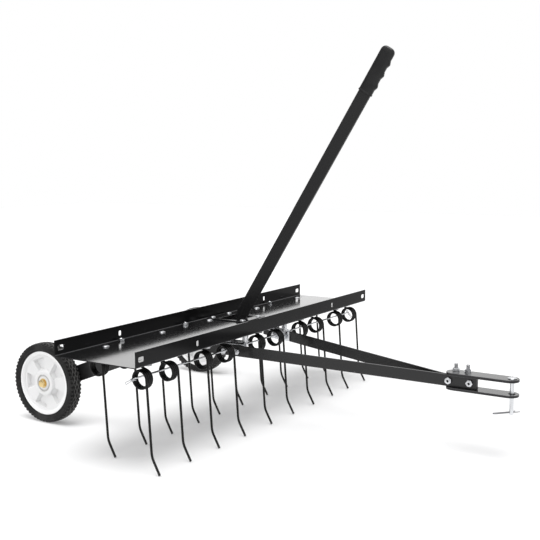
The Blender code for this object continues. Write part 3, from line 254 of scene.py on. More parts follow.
def powder_coat(name, base=0.005, roughness=0.2, specular=0.4, gloss_and_highlight=0.0):
    """Black powder coat: orange peel, a little dust and edges rubbed lighter; with a gloss value it also gets glossier
    level faces and a painted highlight, a lighter colour along the folds.
    """
    finish, point = new_finish(name, roughness, specular=specular)
    peel = point.noise(620, 3)
    cloud = point.noise(9, 4)
    dust = point.noise(170, 5).step(0.6, 0.86) * cloud.step(0.42, 0.7)
    rub = edge_of(point, 0.0012).step(0.02, 0.3)
    facing = point.node("NewGeometry", {}, "Normal")
    level = facing.node("SeparateXYZ", {"Vector": facing}, "Z") ** 2
    # Painted highlight: lighter colour where a face leans about halfway between level and upright, as on the folds.
    bend = (level * (1 - level) * 4).step(0.25, 0.85) if gloss_and_highlight else 0.0
    # Rubbed edges and dust are wear; the lighter folds are painted highlight.
    colour = (rub * 0.24 + dust * 0.05 + bend * 0.9).between((base, base, base * 1.05, 1), RUBBED_AND_HIGHLIGHT_COAT)
    rough = roughness + cloud * 0.06 + dust * 0.03 - rub * 0.03
    if gloss_and_highlight:
        shader = finish.node_tree.nodes["Principled BSDF"]
        shader.inputs["Coat Roughness"].default_value = roughness
        finish.node_tree.links.new((level.step(0.5, 0.9) * gloss_and_highlight).socket, shader.inputs["Coat Weight"])
    return dress(finish, colour, rough, peel, PEEL_RELIEF)


def at(x, y, z):
    """A move to a place."""
    return Matrix.Translation((x, y, z))


def spin(angle, axis="Z"):
    """A turn about an axis."""
    return Matrix.Rotation(angle, 4, axis)


# A flat outline (u, v) lies in the XY plane, or stands with u along X, or faces the front with u along Y and v up
LYING = Matrix.Identity(4)
UPRIGHT = spin(pi / 2, "X")
FACING_FRONT = Matrix(((0, 0, 1, 0), (1, 0, 0, 0), (0, 1, 0, 0), (0, 0, 0, 1)))


def moved(mesh, place):
    """A copy of a mesh at a place."""
    copy = mesh.copy()
    copy.transform(place)
    return copy


def ribbon(path, thickness):
    """The closed outline of a sheet of even thickness that follows a path through its middle."""
    path = [Vector(point) for point in path]
    sides = ([], [])
    for before, here, after in zip(path[:1] + path, path, path[1:] + path[-1:]):
        first = (here - before).normalized()
        second = (after - here).normalized()
        bisector = (first + second).normalized()
        reach = thickness / 2 / max(bisector.dot(first if first.length else second), 0.2)
        normal = Vector((-bisector.y, bisector.x))
        sides[0].append(here + normal * reach)
        sides[1].append(here - normal * reach)
    return sides[0] + sides[1][::-1]


def arc(centre, radius, start, stop, steps):
    """Points on an arc, with its angles in degrees."""
    angles = [radians(start + (stop - start) * step / steps) for step in range(steps + 1)]
    return [(centre[0] + radius * cos(angle), centre[1] + radius * sin(angle)) for angle in angles]


def circle(centre, radius, sides=24):
    """The outline of a round hole or bar."""
    return arc(centre, radius, 0, 360 - 360 / sides, sides - 1)


def rounded(centre, size, corner, steps=5):
    """A rectangle with round corners."""
    points = []
    for number, (u, v) in enumerate(((1, 1), (-1, 1), (-1, -1), (1, -1))):
        pivot = (centre[0] + u * (size[0] / 2 - corner), centre[1] + v * (size[1] / 2 - corner))
        points += arc(pivot, corner, 90 * number, 90 * number + 90, steps)
    return points


def solid(name, stacks, angle=35, closed=False):
    """Stacks of rings of points with end faces, or each closed into a loop, smooth except where they turn sharply."""
    shape = bmesh.new()
    for stack in stacks:
        rings = [[shape.verts.new(point) for point in points] for points in stack]
        for low, high in zip(rings, rings[1:] + rings[:1] if closed else rings[1:]):
            for index in range(len(low)):
                after = (index + 1) % len(low)
                shape.faces.new((low[index], low[after], high[after], high[index]))
        if not closed:
            shape.faces.new(rings[0][::-1])
            shape.faces.new(rings[-1])
    bmesh.ops.remove_doubles(shape, verts=shape.verts, dist=0.000001)
    bmesh.ops.recalc_face_normals(shape, faces=shape.faces)
    mesh = bpy.data.meshes.new(name)
    shape.to_mesh(mesh)
    shape.free()
    mesh.shade_smooth()
    mesh.set_sharp_from_angle(angle=radians(angle))
    return mesh


def prism(name, outlines, thickness, turn=LYING):
    """Flat outlines made thick about their own plane, as one mesh of closed blocks."""
    faces = (-thickness / 2, thickness / 2)
    mesh = solid(name, [[[(u, v, height) for u, v in outline] for height in faces] for outline in outlines])
    mesh.transform(turn)
    return mesh


def cut(mesh, tool):
    """A mesh with another one taken out of it."""
    blank, punch = (bpy.data.objects.new(item.name, item) for item in (mesh, tool))
    put_in_scene(blank)
    put_in_scene(punch)
    step = blank.modifiers.new("cut", "BOOLEAN")
    step.operation = "DIFFERENCE"
    step.solver = "EXACT"
    step.object = punch
    made = bpy.data.meshes.new_from_object(blank.evaluated_get(bpy.context.evaluated_depsgraph_get()))
    bpy.data.objects.remove(blank)
    bpy.data.objects.remove(punch)
    return made


def punched(name, outline, holes, thickness, turn=LYING, punch=0.02):
    """A flat outline made thick, with holes right through it by a punch of a certain length."""
    return cut(prism(name, [outline], thickness, turn), prism("punch", holes, punch, turn))


def joined(name, meshes):
    """Several meshes as one."""
    shape = bmesh.new()
    for mesh in meshes:
        shape.from_mesh(mesh)
    made = bpy.data.meshes.new(name)
    shape.to_mesh(made)
    shape.free()
    return made


def show(node, mesh, finish, body="tray_body", edge=0.0, name=None):
    """Stand a mesh in for a CAD node, on its body, with its edges eased by a small radius."""
    piece = bpy.data.objects.new(name or f"{node}_detail", mesh)
    mesh.transform(at(*REAR_LIP))
    mesh.materials.append(finish)
    put_in_scene(piece)
    if edge:
        ease = piece.modifiers.new("eased_edges", "BEVEL")
        ease.width = edge
        ease.segments = 3
        ease.limit_method = "ANGLE"
        ease.angle_limit = radians(40)
        piece.modifiers.new("level_faces", "WEIGHTED_NORMAL").keep_sharp = True
    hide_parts(node)
    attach(piece, body)


def middle(node):
    """The middle of a CAD node's box, measured from the rear lip."""
    low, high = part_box(node)
    return (low + high) / 2 - REAR_LIP


TINES = [f"{row}_{number}" for row in ("front", "rear") for number in range(1, 6)]
HANGERS = [f"shaft_hanger_{number}" for number in range(1, 4)]
HANGER_STUD_XS = (0.014, 0.14)
BRACKET_STUD_XS = (0.0175, 0.11)
BRACKET_STUD_YS = (0.0335, 0.1056)
STUD_RADIUS = 0.003
BOLT_RADIUS = 0.004

half = TRAY_SHEET / 2
fold = UNDERSIDE + FOLD_RADIUS
profile = [(half, TRAY_TOP)]
profile += arc((FOLD_RADIUS, fold), FOLD_RADIUS - half, 180, 270, 8)
profile += arc((TRAY_DEPTH - FOLD_RADIUS, fold), FOLD_RADIUS - half, 270, 360, 8)
profile.append((TRAY_DEPTH - half, TRAY_TOP))
sheet = prism("tray", [ribbon(profile, TRAY_SHEET)], TRAY_LENGTH, UPRIGHT)
lip_middle = (UNDERSIDE + TRAY_TOP) / 2
lip_holes = [rounded((side * y, lip_middle), size, corner) for side in (-1, 1) for y, size, corner in (
    (TRAY_LENGTH / 2 - END_HOLE_INSET, END_HOLE, END_HOLE_CORNER), (LIP_SLOT_Y, LIP_SLOT, LIP_SLOT_CORNER))]
floor_holes = [rounded(WINDOW_MIDDLE, WINDOW, WINDOW_CORNER)]
for tine in TINES:
    bolt = middle(f"tine_bolt_{tine}")
    floor_holes.append(circle(bolt, BOLT_RADIUS + HOLE_GAP))
    for side in (-1, 1):
        floor_holes.append(rounded((bolt.x, bolt.y + side * KEEPER_SLOT_Y), KEEPER_SLOT, KEEPER_SLOT_CORNER, 3))
studs = [(x, middle(name).y) for x in HANGER_STUD_XS for name in HANGERS]
studs += [(x, y) for x in BRACKET_STUD_XS for y in BRACKET_STUD_YS]
floor_holes += [circle(stud, STUD_RADIUS + HOLE_GAP) for stud in studs]
floor_holes += [circle(middle(f"shoulder_bolt_{label}_{number}"), BOLT_RADIUS + HOLE_GAP)
                for label in ("left", "right") for number in (1, 2)]
sheet = cut(sheet, prism("lip_holes", lip_holes, 1.0, FACING_FRONT))
sheet = cut(sheet, prism("floor_holes", floor_holes, 4 * TRAY_SHEET, at(0, 0, FLOOR_TOP)))
show("tray", sheet, powder_coat("tray_powder_coat", 0.009, 0.12, 0.1, 1.0), "tray_body", edge=0.0003)

# Spring tines
# Each pair is one hard-drawn wire, painted black: a toe, a leg, a double coil, a bridge under the bolt and back.
WIRE_RADIUS = 0.0026
COIL_RADIUS = 0.0186
COIL_TURNS = 3
COIL_PITCH = 0.0058
COIL_DROP = 0.0315
COIL_ENTRY = 80
TINE_HALF_SPREAD = 0.0515
# Under the bolt the wire bows back by this much and ends its bow at this distance to the side
BRIDGE_BOW = 0.0068
BRIDGE_HALF_BOW = 0.016
# From the bridge into the coil: forward, short of the coil's first turn, and down
COIL_LEAD_IN = ((-0.001, 0.006, 0), (0.0002, 0.0022, 0.0004), (0.0045, 0.0003, 0.0024), (0.0118, 0, 0.0068))
KNEE = (0.0481, 0.0367)
KNEE_REACH = 0.01
TOE = (0.0677, 0.0017)
PAINT = (0.004, 0.004, 0.004, 1)
BARE_TOE = (0.06, 0.059, 0.057, 1)


def smooth_path(points, steps=6):
    """A curve through a list of points, rounded at each of them."""
    points = [Vector(point) for point in points]
    points = [2 * points[0] - points[1]] + points + [2 * points[-1] - points[-2]]
    path = []
    for before, start, stop, after in zip(points, points[1:], points[2:], points[3:]):
        for step in range(steps):
            share = step / steps
            path.append(0.5 * (2 * start + (stop - before) * share
                               + (2 * before - 5 * start + 4 * stop - after) * share ** 2
                               + (3 * start - before - 3 * stop + after) * share ** 3))
    return path + [points[-2]]


def bent(corner, back, ahead, reach):
    """A rounded corner between the way back and the way ahead."""
    shares = [step / 8 for step in range(9)]
    return [corner + back * reach * (1 - share) ** 2 + ahead * reach * share ** 2 for share in shares]


def turns(sides):
    """Even angles all round."""
    return [2 * pi * step / sides for step in range(sides)]


def ring(radius, height, sides=48):
    """A round ring of points about Z."""
    return [Vector((radius * cos(angle), radius * sin(angle), height)) for angle in turns(sides)]


def loft(name, rings, angle=30, closed=False):
    """A solid through a stack of rings, each a list of points or the radius and height of a round one."""
    return solid(name, [[ring(*item) if isinstance(item, tuple) else item for item in rings]], angle, closed)


def tube(name, path, radius, sides=16):
    """A round wire along a path, its ends cut square with a small chamfer."""
    path = [Vector(point) for point in path]
    chamfer = radius * 0.25
    path.insert(1, path[0] + (path[1] - path[0]).normalized() * chamfer)
    path.insert(-1, path[-1] + (path[-2] - path[-1]).normalized() * chamfer)
    radii = [radius - chamfer] + [radius] * (len(path) - 2) + [radius - chamfer]
    heading = (path[1] - path[0]).normalized()
    across = heading.orthogonal().normalized()
    rings = []
    for before, here, after, reach in zip(path[:1] + path, path, path[1:] + path[-1:], radii):
        turned = (after - before).normalized()
        across = heading.rotation_difference(turned) @ across
        heading = turned
        beside = heading.cross(across)
        rings.append([here + reach * (cos(angle) * across + sin(angle) * beside) for angle in turns(sides)])
    return loft(name, rings, 40)


def tine_half(side):
    """The wire from its bridge over the coil to one toe, measured from the bolt's axis."""
    bridge_height = UNDERSIDE - GAP - WIRE_RADIUS
    coil_height = UNDERSIDE - COIL_DROP
    coils = COIL_TURNS + COIL_ENTRY / 360
    start = TINE_HALF_SPREAD - COIL_PITCH * coils
    entry = [(-0.001 - BRIDGE_BOW * cos(pi * y / (2 * BRIDGE_HALF_BOW)) ** 2, side * y, bridge_height)
             for y in (0.004, 0.008, 0.012, BRIDGE_HALF_BOW)]
    entry += [(x, side * (start - inset), bridge_height - drop) for x, inset, drop in COIL_LEAD_IN]
    steps = round(24 * coils)
    coil = []
    for step in range(1, steps + 1):
        share = step / steps
        angle = radians(COIL_ENTRY - share * 360 * coils)
        along = side * (start + (TINE_HALF_SPREAD - start) * share)
        coil.append((COIL_RADIUS + COIL_RADIUS * cos(angle), along, coil_height + COIL_RADIUS * sin(angle)))
    spread = side * TINE_HALF_SPREAD
    top = Vector((2 * COIL_RADIUS, spread, coil_height))
    knee = Vector((KNEE[0], spread, KNEE[1]))
    toe = Vector((TOE[0], spread, TOE[1]))
    corner = bent(knee, (top - knee).normalized(), (toe - knee).normalized(), KNEE_REACH)
    return smooth_path(entry) + coil + corner + [toe]


finish, point = new_finish("tine_paint", 0.3, specular=0.2)
height = point.node("SeparateXYZ", {"Vector": point}, "Z")
fleck = point.noise(900, 3)
cloud = point.noise(30, 3)
rub = (1 - height.step(0.001, 0.016)) * fleck.step(0.35, 0.62)
colour = (rub * 0.6 + cloud.step(0.5, 0.8) * 0.1).between(PAINT, BARE_TOE)
SPRING = dress(finish, colour, 0.26 + cloud * 0.16 + rub * 0.1, fleck, 0.00004)
wire = tube("tine_wire", tine_half(-1)[::-1] + tine_half(1), WIRE_RADIUS, 18)
for vertex in wire.vertices:
    vertex.co.z = max(vertex.co.z, 0)
for tine in TINES:
    place = at(*middle(f"tine_bolt_{tine}").xy, 0)
    show(f"tine_{tine}", moved(wire, place), SPRING, "tray_body")

# Tine bolts
# Zinc plated carriage bolts: a low round head on the tray's floor, and a washer and a hex nut under the wire.
TINE_NUT = 0.0075
WASHER = 0.0125
# The head's radius at each height above the floor
CROWN = ((0.008, 0.0003), (0.0082, 0.0007), (0.0081, 0.001), (0.0075, 0.0017), (0.0064, 0.0024), (0.0049, 0.003),
         (0.0031, 0.0034), (0.0012, 0.0036))


def hex_rings(radius, low, high, sides=48):
    """The rings of a hexagon whose corners are turned down to a chamfer at both ends."""
    flat = radius * cos(pi / 6)
    face = flat * 0.965
    lower = []
    upper = []
    for point in ring(1, 0, sides):
        angle = atan2(point.y, point.x) % (pi / 3)
        reach = flat / cos(angle - pi / 6)
        fall = (reach - face) * 0.55
        lower.append((point.x * reach, point.y * reach, low + fall))
        upper.append((point.x * reach, point.y * reach, high - fall))
    return [ring(face, low, sides), lower, upper, ring(face, high, sides)]


def thread_rings(radius, low, high, pitch=0.00125, sides=48):
    """The rings of a rolled thread between two heights, with a chamfered end."""
    depth = pitch * 0.32
    count = round((high - low) / pitch * 8)
    rings = []
    for step in range(count + 1):
        height = low + (high - low) * step / count
        points = []
        for place, point in enumerate(ring(1, height, sides)):
            wave = (height / pitch - place / sides) % 1
            reach = min(radius - depth * abs(2 * wave - 1), radius - 0.0009 + (high - height))
            points.append((point.x * reach, point.y * reach, height))
        rings.append(points)
    return rings


def plating(name, tint, roughness=0.17):
    """Bright plating on steel: cloudy, faintly spotted and finely scratched."""
    finish, point = new_finish(name, roughness, metallic=1.0)
    cloud = point.noise(55, 4)
    spot = point.noise(420, 3).step(0.6, 0.78)
    grain = point.noise(1500, 2)
    dull = tuple(value * 0.72 for value in tint[:3]) + (1,)
    colour = (cloud.step(0.4, 0.7) * 0.45 + spot * 0.25).between(tint, dull)
    rough = roughness + cloud * 0.1 + spot * 0.12
    return dress(finish, colour, rough, grain, 0.00002)


ZINC = plating("zinc_plating", (0.7, 0.71, 0.73, 1))
BOLT_ZINC = plating("bolt_zinc_plating", (0.5, 0.505, 0.52, 1), 0.24)
under = UNDERSIDE - 2 * GAP - 2 * WIRE_RADIUS
tine_bolt = loft("tine_bolt", [
    *hex_rings(TINE_NUT, under - 0.0085, under - 0.0022), (WASHER - GAP, under - 0.0018), (WASHER, under - 0.0014),
    (WASHER, under - 0.0004), (WASHER - GAP, under), (BOLT_RADIUS, under), (BOLT_RADIUS, FLOOR_TOP + GAP),
    *((radius, FLOOR_TOP + rise) for radius, rise in CROWN)])
for tine in TINES:
    node = f"tine_bolt_{tine}"
    show(node, moved(tine_bolt, at(*middle(node).xy, 0) @ spin(0.5 * int(tine[-1]))), BOLT_ZINC)

# Retaining rod
# A thin bright rod runs through the front coils so that a broken tine can't fall off, with a hair clip at each end.
ROD_RADIUS = 0.002
ROD_CHAMFER = 0.0005
CLIP_WIRE = 0.0009
CLIP_LENGTH = 0.034
CLIP_TURNS = (radians(154), radians(50))


def crossbar(node, name, place, radius, chamfer, steps, sides=48):
    """A round bar with chamfered ends that runs across the tool, as long as its CAD node."""
    low, high = (corner.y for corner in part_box(node))
    rings = [(radius - chamfer, low, sides), (radius, low + chamfer, sides)]
    rings += [(radius, low + (high - low) * step / steps, sides) for step in range(1, steps)]
    rings += [(radius, high - chamfer, sides), (radius - chamfer, high, sides)]
    bar = loft(name, rings)
    bar.transform(at(place[0], 0, place[1]) @ spin(-pi / 2, "X"))
    return bar


def clip_path(pin_radius, wire, length):
    """A hair clip in its own XY plane: one leg through the pin's hole, one round its outside."""
    reach = pin_radius + wire + GAP
    loop = max(reach / 2, 2.6 * wire)
    head = length * 0.67 - loop - wire
    waist = pin_radius + 2.5 * wire
    straight = [(x, 0, 0) for x in (-length * 0.33, -length * 0.16, 0, head * 0.5, head * 0.85)]
    curl = [(x, y, 0) for x, y in arc((head, loop), loop, -90, 110, 8)]
    back = [(waist, reach * 0.9, 0), (0, reach, 0), (-waist, reach, 0), (-waist - length * 0.12, reach * 1.5, 0)]
    return smooth_path(straight + curl + back, 4)


rod_place = middle("tine_rod")
rod = crossbar("tine_rod", "tine_rod", rod_place.xz, ROD_RADIUS, ROD_CHAMFER, 40, 24)
show("tine_rod", rod, ZINC)
for number, turn in enumerate(CLIP_TURNS, 1):
    node = f"tine_rod_clip_{number}"
    clip = tube(node, clip_path(ROD_RADIUS, CLIP_WIRE, CLIP_LENGTH), CLIP_WIRE, 12)
    clip.transform(at(rod_place.x, middle(node).y, rod_place.z) @ spin(turn, "Y") @ UPRIGHT)
    show(node, clip, ZINC)

# Lift frame
# A round shaft under the tray with a flat arm welded on near each end and a lug for the handle, all powder coated.
SHAFT = (0.07, 0.213)
SHAFT_RADIUS = 0.008
SHAFT_CHAMFER = 0.0008
AXLE = (-0.229, 0.097)
AXLE_HOLE = 0.0062
ARM_HALF_WIDTH = 0.019
ARM_SAG = 0.004
ARM_EYE = 0.0094
ARM_TAPER = 0.026
ARM_THICKNESS = 0.006
ARM_Y = middle("tyre_left").y - 0.023
ARM_WELD = 0.0017
HANDLE_LEAN = radians(32)
HANDLE_Y = 0.069
HANDLE_THICKNESS = 0.006
HANDLE_BOLT_DROP = 0.031
LUG_THICKNESS = 0.005
LUG_Y = 0.0748
LUG_HALF_WIDTH = 0.013
LUG_WELD = 0.0014


def weld_bead(size, y, lumps=26):
    """A ring of weld round the shaft, with the ripples that the torch leaves."""
    rings = []
    for turn in turns(lumps * 5):
        swell = size * (0.86 + 0.14 * abs(sin(turn * lumps / 2)))
        points = [(SHAFT_RADIUS + swell * cos(angle), y + swell * sin(angle)) for angle in turns(10)]
        rings.append([(reach * cos(turn), along, reach * sin(turn)) for reach, along in points])
    bead = loft("weld", rings, 35, True)
    bead.transform(at(SHAFT[0], 0, SHAFT[1]))
    return bead


pieces = [crossbar("lift_frame", "shaft", SHAFT, SHAFT_RADIUS, SHAFT_CHAMFER, 30)]
along = (Vector(AXLE) - Vector(SHAFT)).normalized()
across = Vector((-along.y, along.x))
heading = degrees(atan2(along.y, along.x))
sag = across * ARM_SAG * (1 if across.y < 0 else -1)
taper = Vector(SHAFT) + along * ARM_TAPER + sag
wide = across * ARM_HALF_WIDTH
outline = arc(SHAFT, ARM_EYE, heading + 90, heading + 270, 20) + [tuple(taper - wide)]
outline += arc(Vector(AXLE) + sag, ARM_HALF_WIDTH, heading - 90, heading + 90, 24) + [tuple(taper + wide)]
arm = punched("arm", outline, [circle(AXLE, AXLE_HOLE, 36)], ARM_THICKNESS, UPRIGHT)
for side in (-1, 1):
    pieces.append(moved(arm, at(0, side * ARM_Y, 0)))
    pieces += [weld_bead(ARM_WELD, side * ARM_Y + face * (ARM_THICKNESS / 2 + 0.0002)) for face in (-1, 1)]
outline = arc((0, 0), ARM_EYE, 0, 180, 16) + arc((0, -HANDLE_BOLT_DROP), LUG_HALF_WIDTH, 180, 360, 20)
lug = punched("lug", outline, [circle((0, -HANDLE_BOLT_DROP), BOLT_RADIUS + GAP)], LUG_THICKNESS, UPRIGHT)
lug.transform(at(SHAFT[0], LUG_Y, SHAFT[1]) @ spin(HANDLE_LEAN, "Y"))
pieces += [lug, weld_bead(LUG_WELD, LUG_Y + LUG_THICKNESS / 2 + 0.0004)]
show("lift_frame", joined("lift_frame", pieces), powder_coat("arm_powder_coat", 0.012, 0.32), "lift",
     edge=0.0004)

# Lift handle
# A flat bar that leans forward through the tray's window, bolted to the lug under the shaft.
HANDLE_HALF_WIDTH = 0.016
HANDLE_TAIL = 0.044
HANDLE_TOP = 0.766
HANDLE_PLACE = at(SHAFT[0], HANDLE_Y, SHAFT[1]) @ spin(HANDLE_LEAN, "Y")
NUT_RADIUS = 0.0072
NUT_HEIGHT = 0.0062
HEAD_HEIGHT = 0.006

outline = [(HANDLE_HALF_WIDTH, HANDLE_TOP), (-HANDLE_HALF_WIDTH, HANDLE_TOP)]
outline += arc((0, HANDLE_HALF_WIDTH - HANDLE_TAIL), HANDLE_HALF_WIDTH, 180, 360, 24)
holes = [circle((0, 0), SHAFT_RADIUS + GAP, 36), circle((0, -HANDLE_BOLT_DROP), BOLT_RADIUS + GAP)]
handle = punched("lift_handle", outline, holes, HANDLE_THICKNESS, UPRIGHT)
handle.transform(HANDLE_PLACE)
show("lift_handle", handle, powder_coat("handle_powder_coat", 0.008, 0.24), "lift", edge=0.0006)

head = -HANDLE_THICKNESS / 2 - GAP
nut = HANDLE_THICKNESS / 2 + 2 * GAP + LUG_THICKNESS
handle_bolt = loft("handle_bolt", [
    *hex_rings(NUT_RADIUS, head - HEAD_HEIGHT, head), (BOLT_RADIUS, head), (BOLT_RADIUS, nut),
    *hex_rings(NUT_RADIUS, nut, nut + NUT_HEIGHT), (BOLT_RADIUS - GAP, nut + NUT_HEIGHT),
    *thread_rings(BOLT_RADIUS, nut + NUT_HEIGHT, nut + 0.0085)])
handle_bolt.transform(HANDLE_PLACE @ at(0, 0, -HANDLE_BOLT_DROP) @ spin(-pi / 2, "X"))
show("handle_bolt", handle_bolt, ZINC, "lift")

# Grip
# A moulded rubber grip pushed over the bar's end, with three narrow finger ridges on its front side.
GRIP_START = 0.672
GRIP_END = 0.788
GRIP_HALF_WIDTH = 0.018
GRIP_HALF_THICKNESS = 0.0085
GRIP_COLLAR = 0.0034
GRIP_ROUND = 0.012
GRIP_RIDGE = 0.0026
GRIP_RIDGES = (0.0242, 0.0535, 0.0815)
GRIP_RIDGE_SPREAD = 0.0105

grip_rings = []
length = GRIP_END - GRIP_START
stations = [0.0, 0.0004, 0.001, GRIP_COLLAR, 0.004, 0.0048]
stations += [0.0048 + (length - GRIP_ROUND - 0.0048) * step / 64 for step in range(1, 65)]
stations += [length - GRIP_ROUND * (1 - sin(pi / 2 * step / 14)) for step in range(1, 15)]
for station in stations:
    round_off = sqrt(max(0.0, 1 - max(0.0, 1 - (length - station) / GRIP_ROUND) ** 2))
    wave = 0.0
    for place in GRIP_RIDGES:
        share = min(abs(station - place) / GRIP_RIDGE_SPREAD, 1.0)
        wave += GRIP_RIDGE * ((1 + cos(pi * share)) / 2) ** 1.6
    collar = 0.0 if station <= 0.0036 else -0.0007 * min(1.0, (station - GRIP_COLLAR) / 0.0014)
    edge = 0.0006 if station == 0 else 0.0
    shrink = GRIP_ROUND * (1 - round_off)
    rear = -GRIP_HALF_WIDTH - collar + edge + shrink
    front = GRIP_HALF_WIDTH + 0.0002 + wave + collar * (1 if wave < 0.0002 else 0) - edge - shrink
    thick = (GRIP_HALF_THICKNESS + collar - edge) * (0.3 + 0.7 * round_off)
    points = []
    for angle in turns(56):
        u = copysign(abs(cos(angle)) ** 0.45, cos(angle))
        v = copysign(abs(sin(angle)) ** 0.62, sin(angle))
        points.append(((front + rear) / 2 + (front - rear) / 2 * u, v * thick, GRIP_START + station))
    grip_rings.append(points)
grip = loft("grip", grip_rings, 50)
grip.transform(HANDLE_PLACE)
finish, point = new_finish("grip_rubber", 0.3, specular=0.35)
skin = point.noise(520, 4)
haze = point.noise(24, 3)
colour = haze.step(0.45, 0.75).between((0.005, 0.005, 0.0054, 1), (0.01, 0.01, 0.0104, 1))
dress(finish, colour, 0.22 + haze * 0.1 + skin * 0.05, skin, 0.00006)
show("grip", grip, finish, "lift")

# Handle bracket
# A plate on the tray's floor, turned down along its window, with two ears that carry the shaft, held by four bolts.
BRACKET_MIDDLE = (0.0655, 0.0695)
BRACKET_SIZE = (0.113, 0.101)
BRACKET_CORNER = 0.003
BRACKET_WINDOW = (0.0625, 0.08)
BRACKET_SHEET = 0.0025
FLANGE_DROP = 0.011
FLANGE_SHEET = 0.0013
ROLL_RADIUS = 0.0016
ROLL_LENGTH = 0.056
EAR_YS = (0.02825, 0.11075)
STUD_CROWN = 0.88
plate_low = FLOOR_TOP + GAP
plate_top = plate_low + BRACKET_SHEET

plate = punched("bracket_plate", rounded(BRACKET_MIDDLE, BRACKET_SIZE, BRACKET_CORNER),
                [rounded(WINDOW_MIDDLE, BRACKET_WINDOW, WINDOW_CORNER)], BRACKET_SHEET, punch=0.01)
plate.transform(at(0, 0, plate_low + BRACKET_SHEET / 2))
outline = arc(SHAFT, 2 * SHAFT_RADIUS, 180, 360, 24)
outline += [(SHAFT[0] + side * 2 * SHAFT_RADIUS, plate_top - 0.0008) for side in (1, -1)]
ear = punched("ear", outline, [circle(SHAFT, SHAFT_RADIUS + 2 * GAP, 36)], BRACKET_SHEET, UPRIGHT, 0.01)
rear = WINDOW_MIDDLE[0] - BRACKET_WINDOW[0] / 2 - GAP
front = rear + FLANGE_SHEET
high = plate_top - 0.0004
low = UNDERSIDE - FLANGE_DROP
flange = prism("bracket_flange", [[(rear, high), (front, high), (front, low), (rear, low)]],
               BRACKET_WINDOW[1] - 0.003, UPRIGHT)
roll = circle((WINDOW_MIDDLE[1] + BRACKET_WINDOW[1] / 2 - 0.0004, plate_top - 0.0012), ROLL_RADIUS)
rolled_edge = prism("rolled_edge", [roll], ROLL_LENGTH, FACING_FRONT)
pieces = [plate] + [moved(ear, at(0, y, 0)) for y in EAR_YS]
pieces += [moved(flange, at(0, WINDOW_MIDDLE[1], 0)), moved(rolled_edge, at(WINDOW_MIDDLE[0], 0, 0))]
show("handle_bracket", joined("handle_bracket", pieces), powder_coat("bracket_powder_coat", 0.008, 0.16, 0.2, 0.8),
     "tray_body", edge=0.0003)
stud = loft("bracket_stud", [
    (0.0052, UNDERSIDE - 0.003), (0.006, UNDERSIDE - 0.0024), (0.006, UNDERSIDE - GAP),
    (STUD_RADIUS, UNDERSIDE - GAP), (STUD_RADIUS, plate_top + 0.0001),
    *((radius * STUD_CROWN, plate_top - 0.0002 + rise) for radius, rise in CROWN)])
pieces = [moved(stud, at(x, y, 0) @ spin(40 * x + 9 * y)) for x in BRACKET_STUD_XS for y in BRACKET_STUD_YS]
show("handle_bracket", joined("bracket_studs", pieces), BOLT_ZINC, name="bracket_studs_detail")

# Shaft hangers
# Zinc plated straps pressed round the shaft from below, each held to the tray by a nut and a low round cap.
HANGER_THICKNESS = 0.003
HANGER_WIDTH = 0.018
HANGER_END = 0.009
HANGER_TOP = 0.0056

flange = UNDERSIDE - GAP - HANGER_THICKNESS / 2
seat = flange - HANGER_THICKNESS / 2
strap = [(HANGER_STUD_XS[0] - HANGER_END, flange), (SHAFT[0] - 0.022, flange), (SHAFT[0] - 0.016, flange)]
strap += arc(SHAFT, SHAFT_RADIUS + GAP + HANGER_THICKNESS / 2, 190, 350, 24)
strap += [(SHAFT[0] + 0.016, flange), (SHAFT[0] + 0.022, flange), (HANGER_STUD_XS[1] + HANGER_END, flange)]
rear_stud = loft("rear_stud", [
    (0.006, seat), (STUD_RADIUS, seat), (STUD_RADIUS, FLOOR_TOP + GAP),
    *hex_rings(NUT_RADIUS, FLOOR_TOP + GAP, FLOOR_TOP + HANGER_TOP), (STUD_RADIUS - GAP, FLOOR_TOP + HANGER_TOP),
    *thread_rings(STUD_RADIUS, FLOOR_TOP + HANGER_TOP, FLOOR_TOP + 0.0068, 0.001)])
front_stud = loft("front_stud", [
    (STUD_RADIUS, seat), (STUD_RADIUS, FLOOR_TOP + GAP), (0.0065, FLOOR_TOP + GAP), (0.0064, FLOOR_TOP + 0.0008),
    (0.0055, FLOOR_TOP + 0.0016), (0.003, FLOOR_TOP + 0.002)])
hanger = prism("hanger", [ribbon(strap, HANGER_THICKNESS)], HANGER_WIDTH, UPRIGHT)
for node in HANGERS:
    y = middle(node).y
    show(node, moved(hanger, at(0, y, 0)), ZINC, edge=0.0004)
    pieces = [moved(stud, at(x, y, 0) @ spin(7 * y)) for stud, x in zip((rear_stud, front_stud), HANGER_STUD_XS)]
    show(node, joined(node, pieces), ZINC, name=f"{node}_studs")

# Hubs
# White moulded hubs with a dished web, five wedge pockets with sloping sides on each face and a boss for the bolt.
SIDES = ((-1, "right"), (1, "left"))
WHEEL_Y = middle("tyre_left").y
WHEEL_RADIUS = 0.097
BEAD_RADIUS = 0.0775
HUB_HALF_WIDTH = 0.014
HUB_STEPS = 144
WEB_FACE = 0.0082
WEB_BACK = 0.01
POCKETS = 5
POCKET_DEPTH = 0.0082
POCKET_DRAFT = 0.005
POCKET_INNER = 0.031
POCKET_OUTER = 0.063
POCKET_HALF_ANGLE = 19
POCKET_START = 38
POCKET_CORNER = 0.0035
HUB_WHITE = (0.69, 0.69, 0.69, 1)
HUB_GRIMY = (0.64, 0.64, 0.635, 1)
RIM_PAINTED_LIGHT = (0.8, 0.8, 0.8, 1)
GROOVE_PAINTED_SHADE = (0.22, 0.22, 0.215, 1)


def turned(name, profiles, angle=30):
    """Closed profiles of (radius, height) points, one for each of their even turns about Z."""
    return loft(name, [[(radius * cos(turn), radius * sin(turn), height) for radius, height in profile]
                       for turn, profile in zip(turns(len(profiles)), profiles)], angle, True)


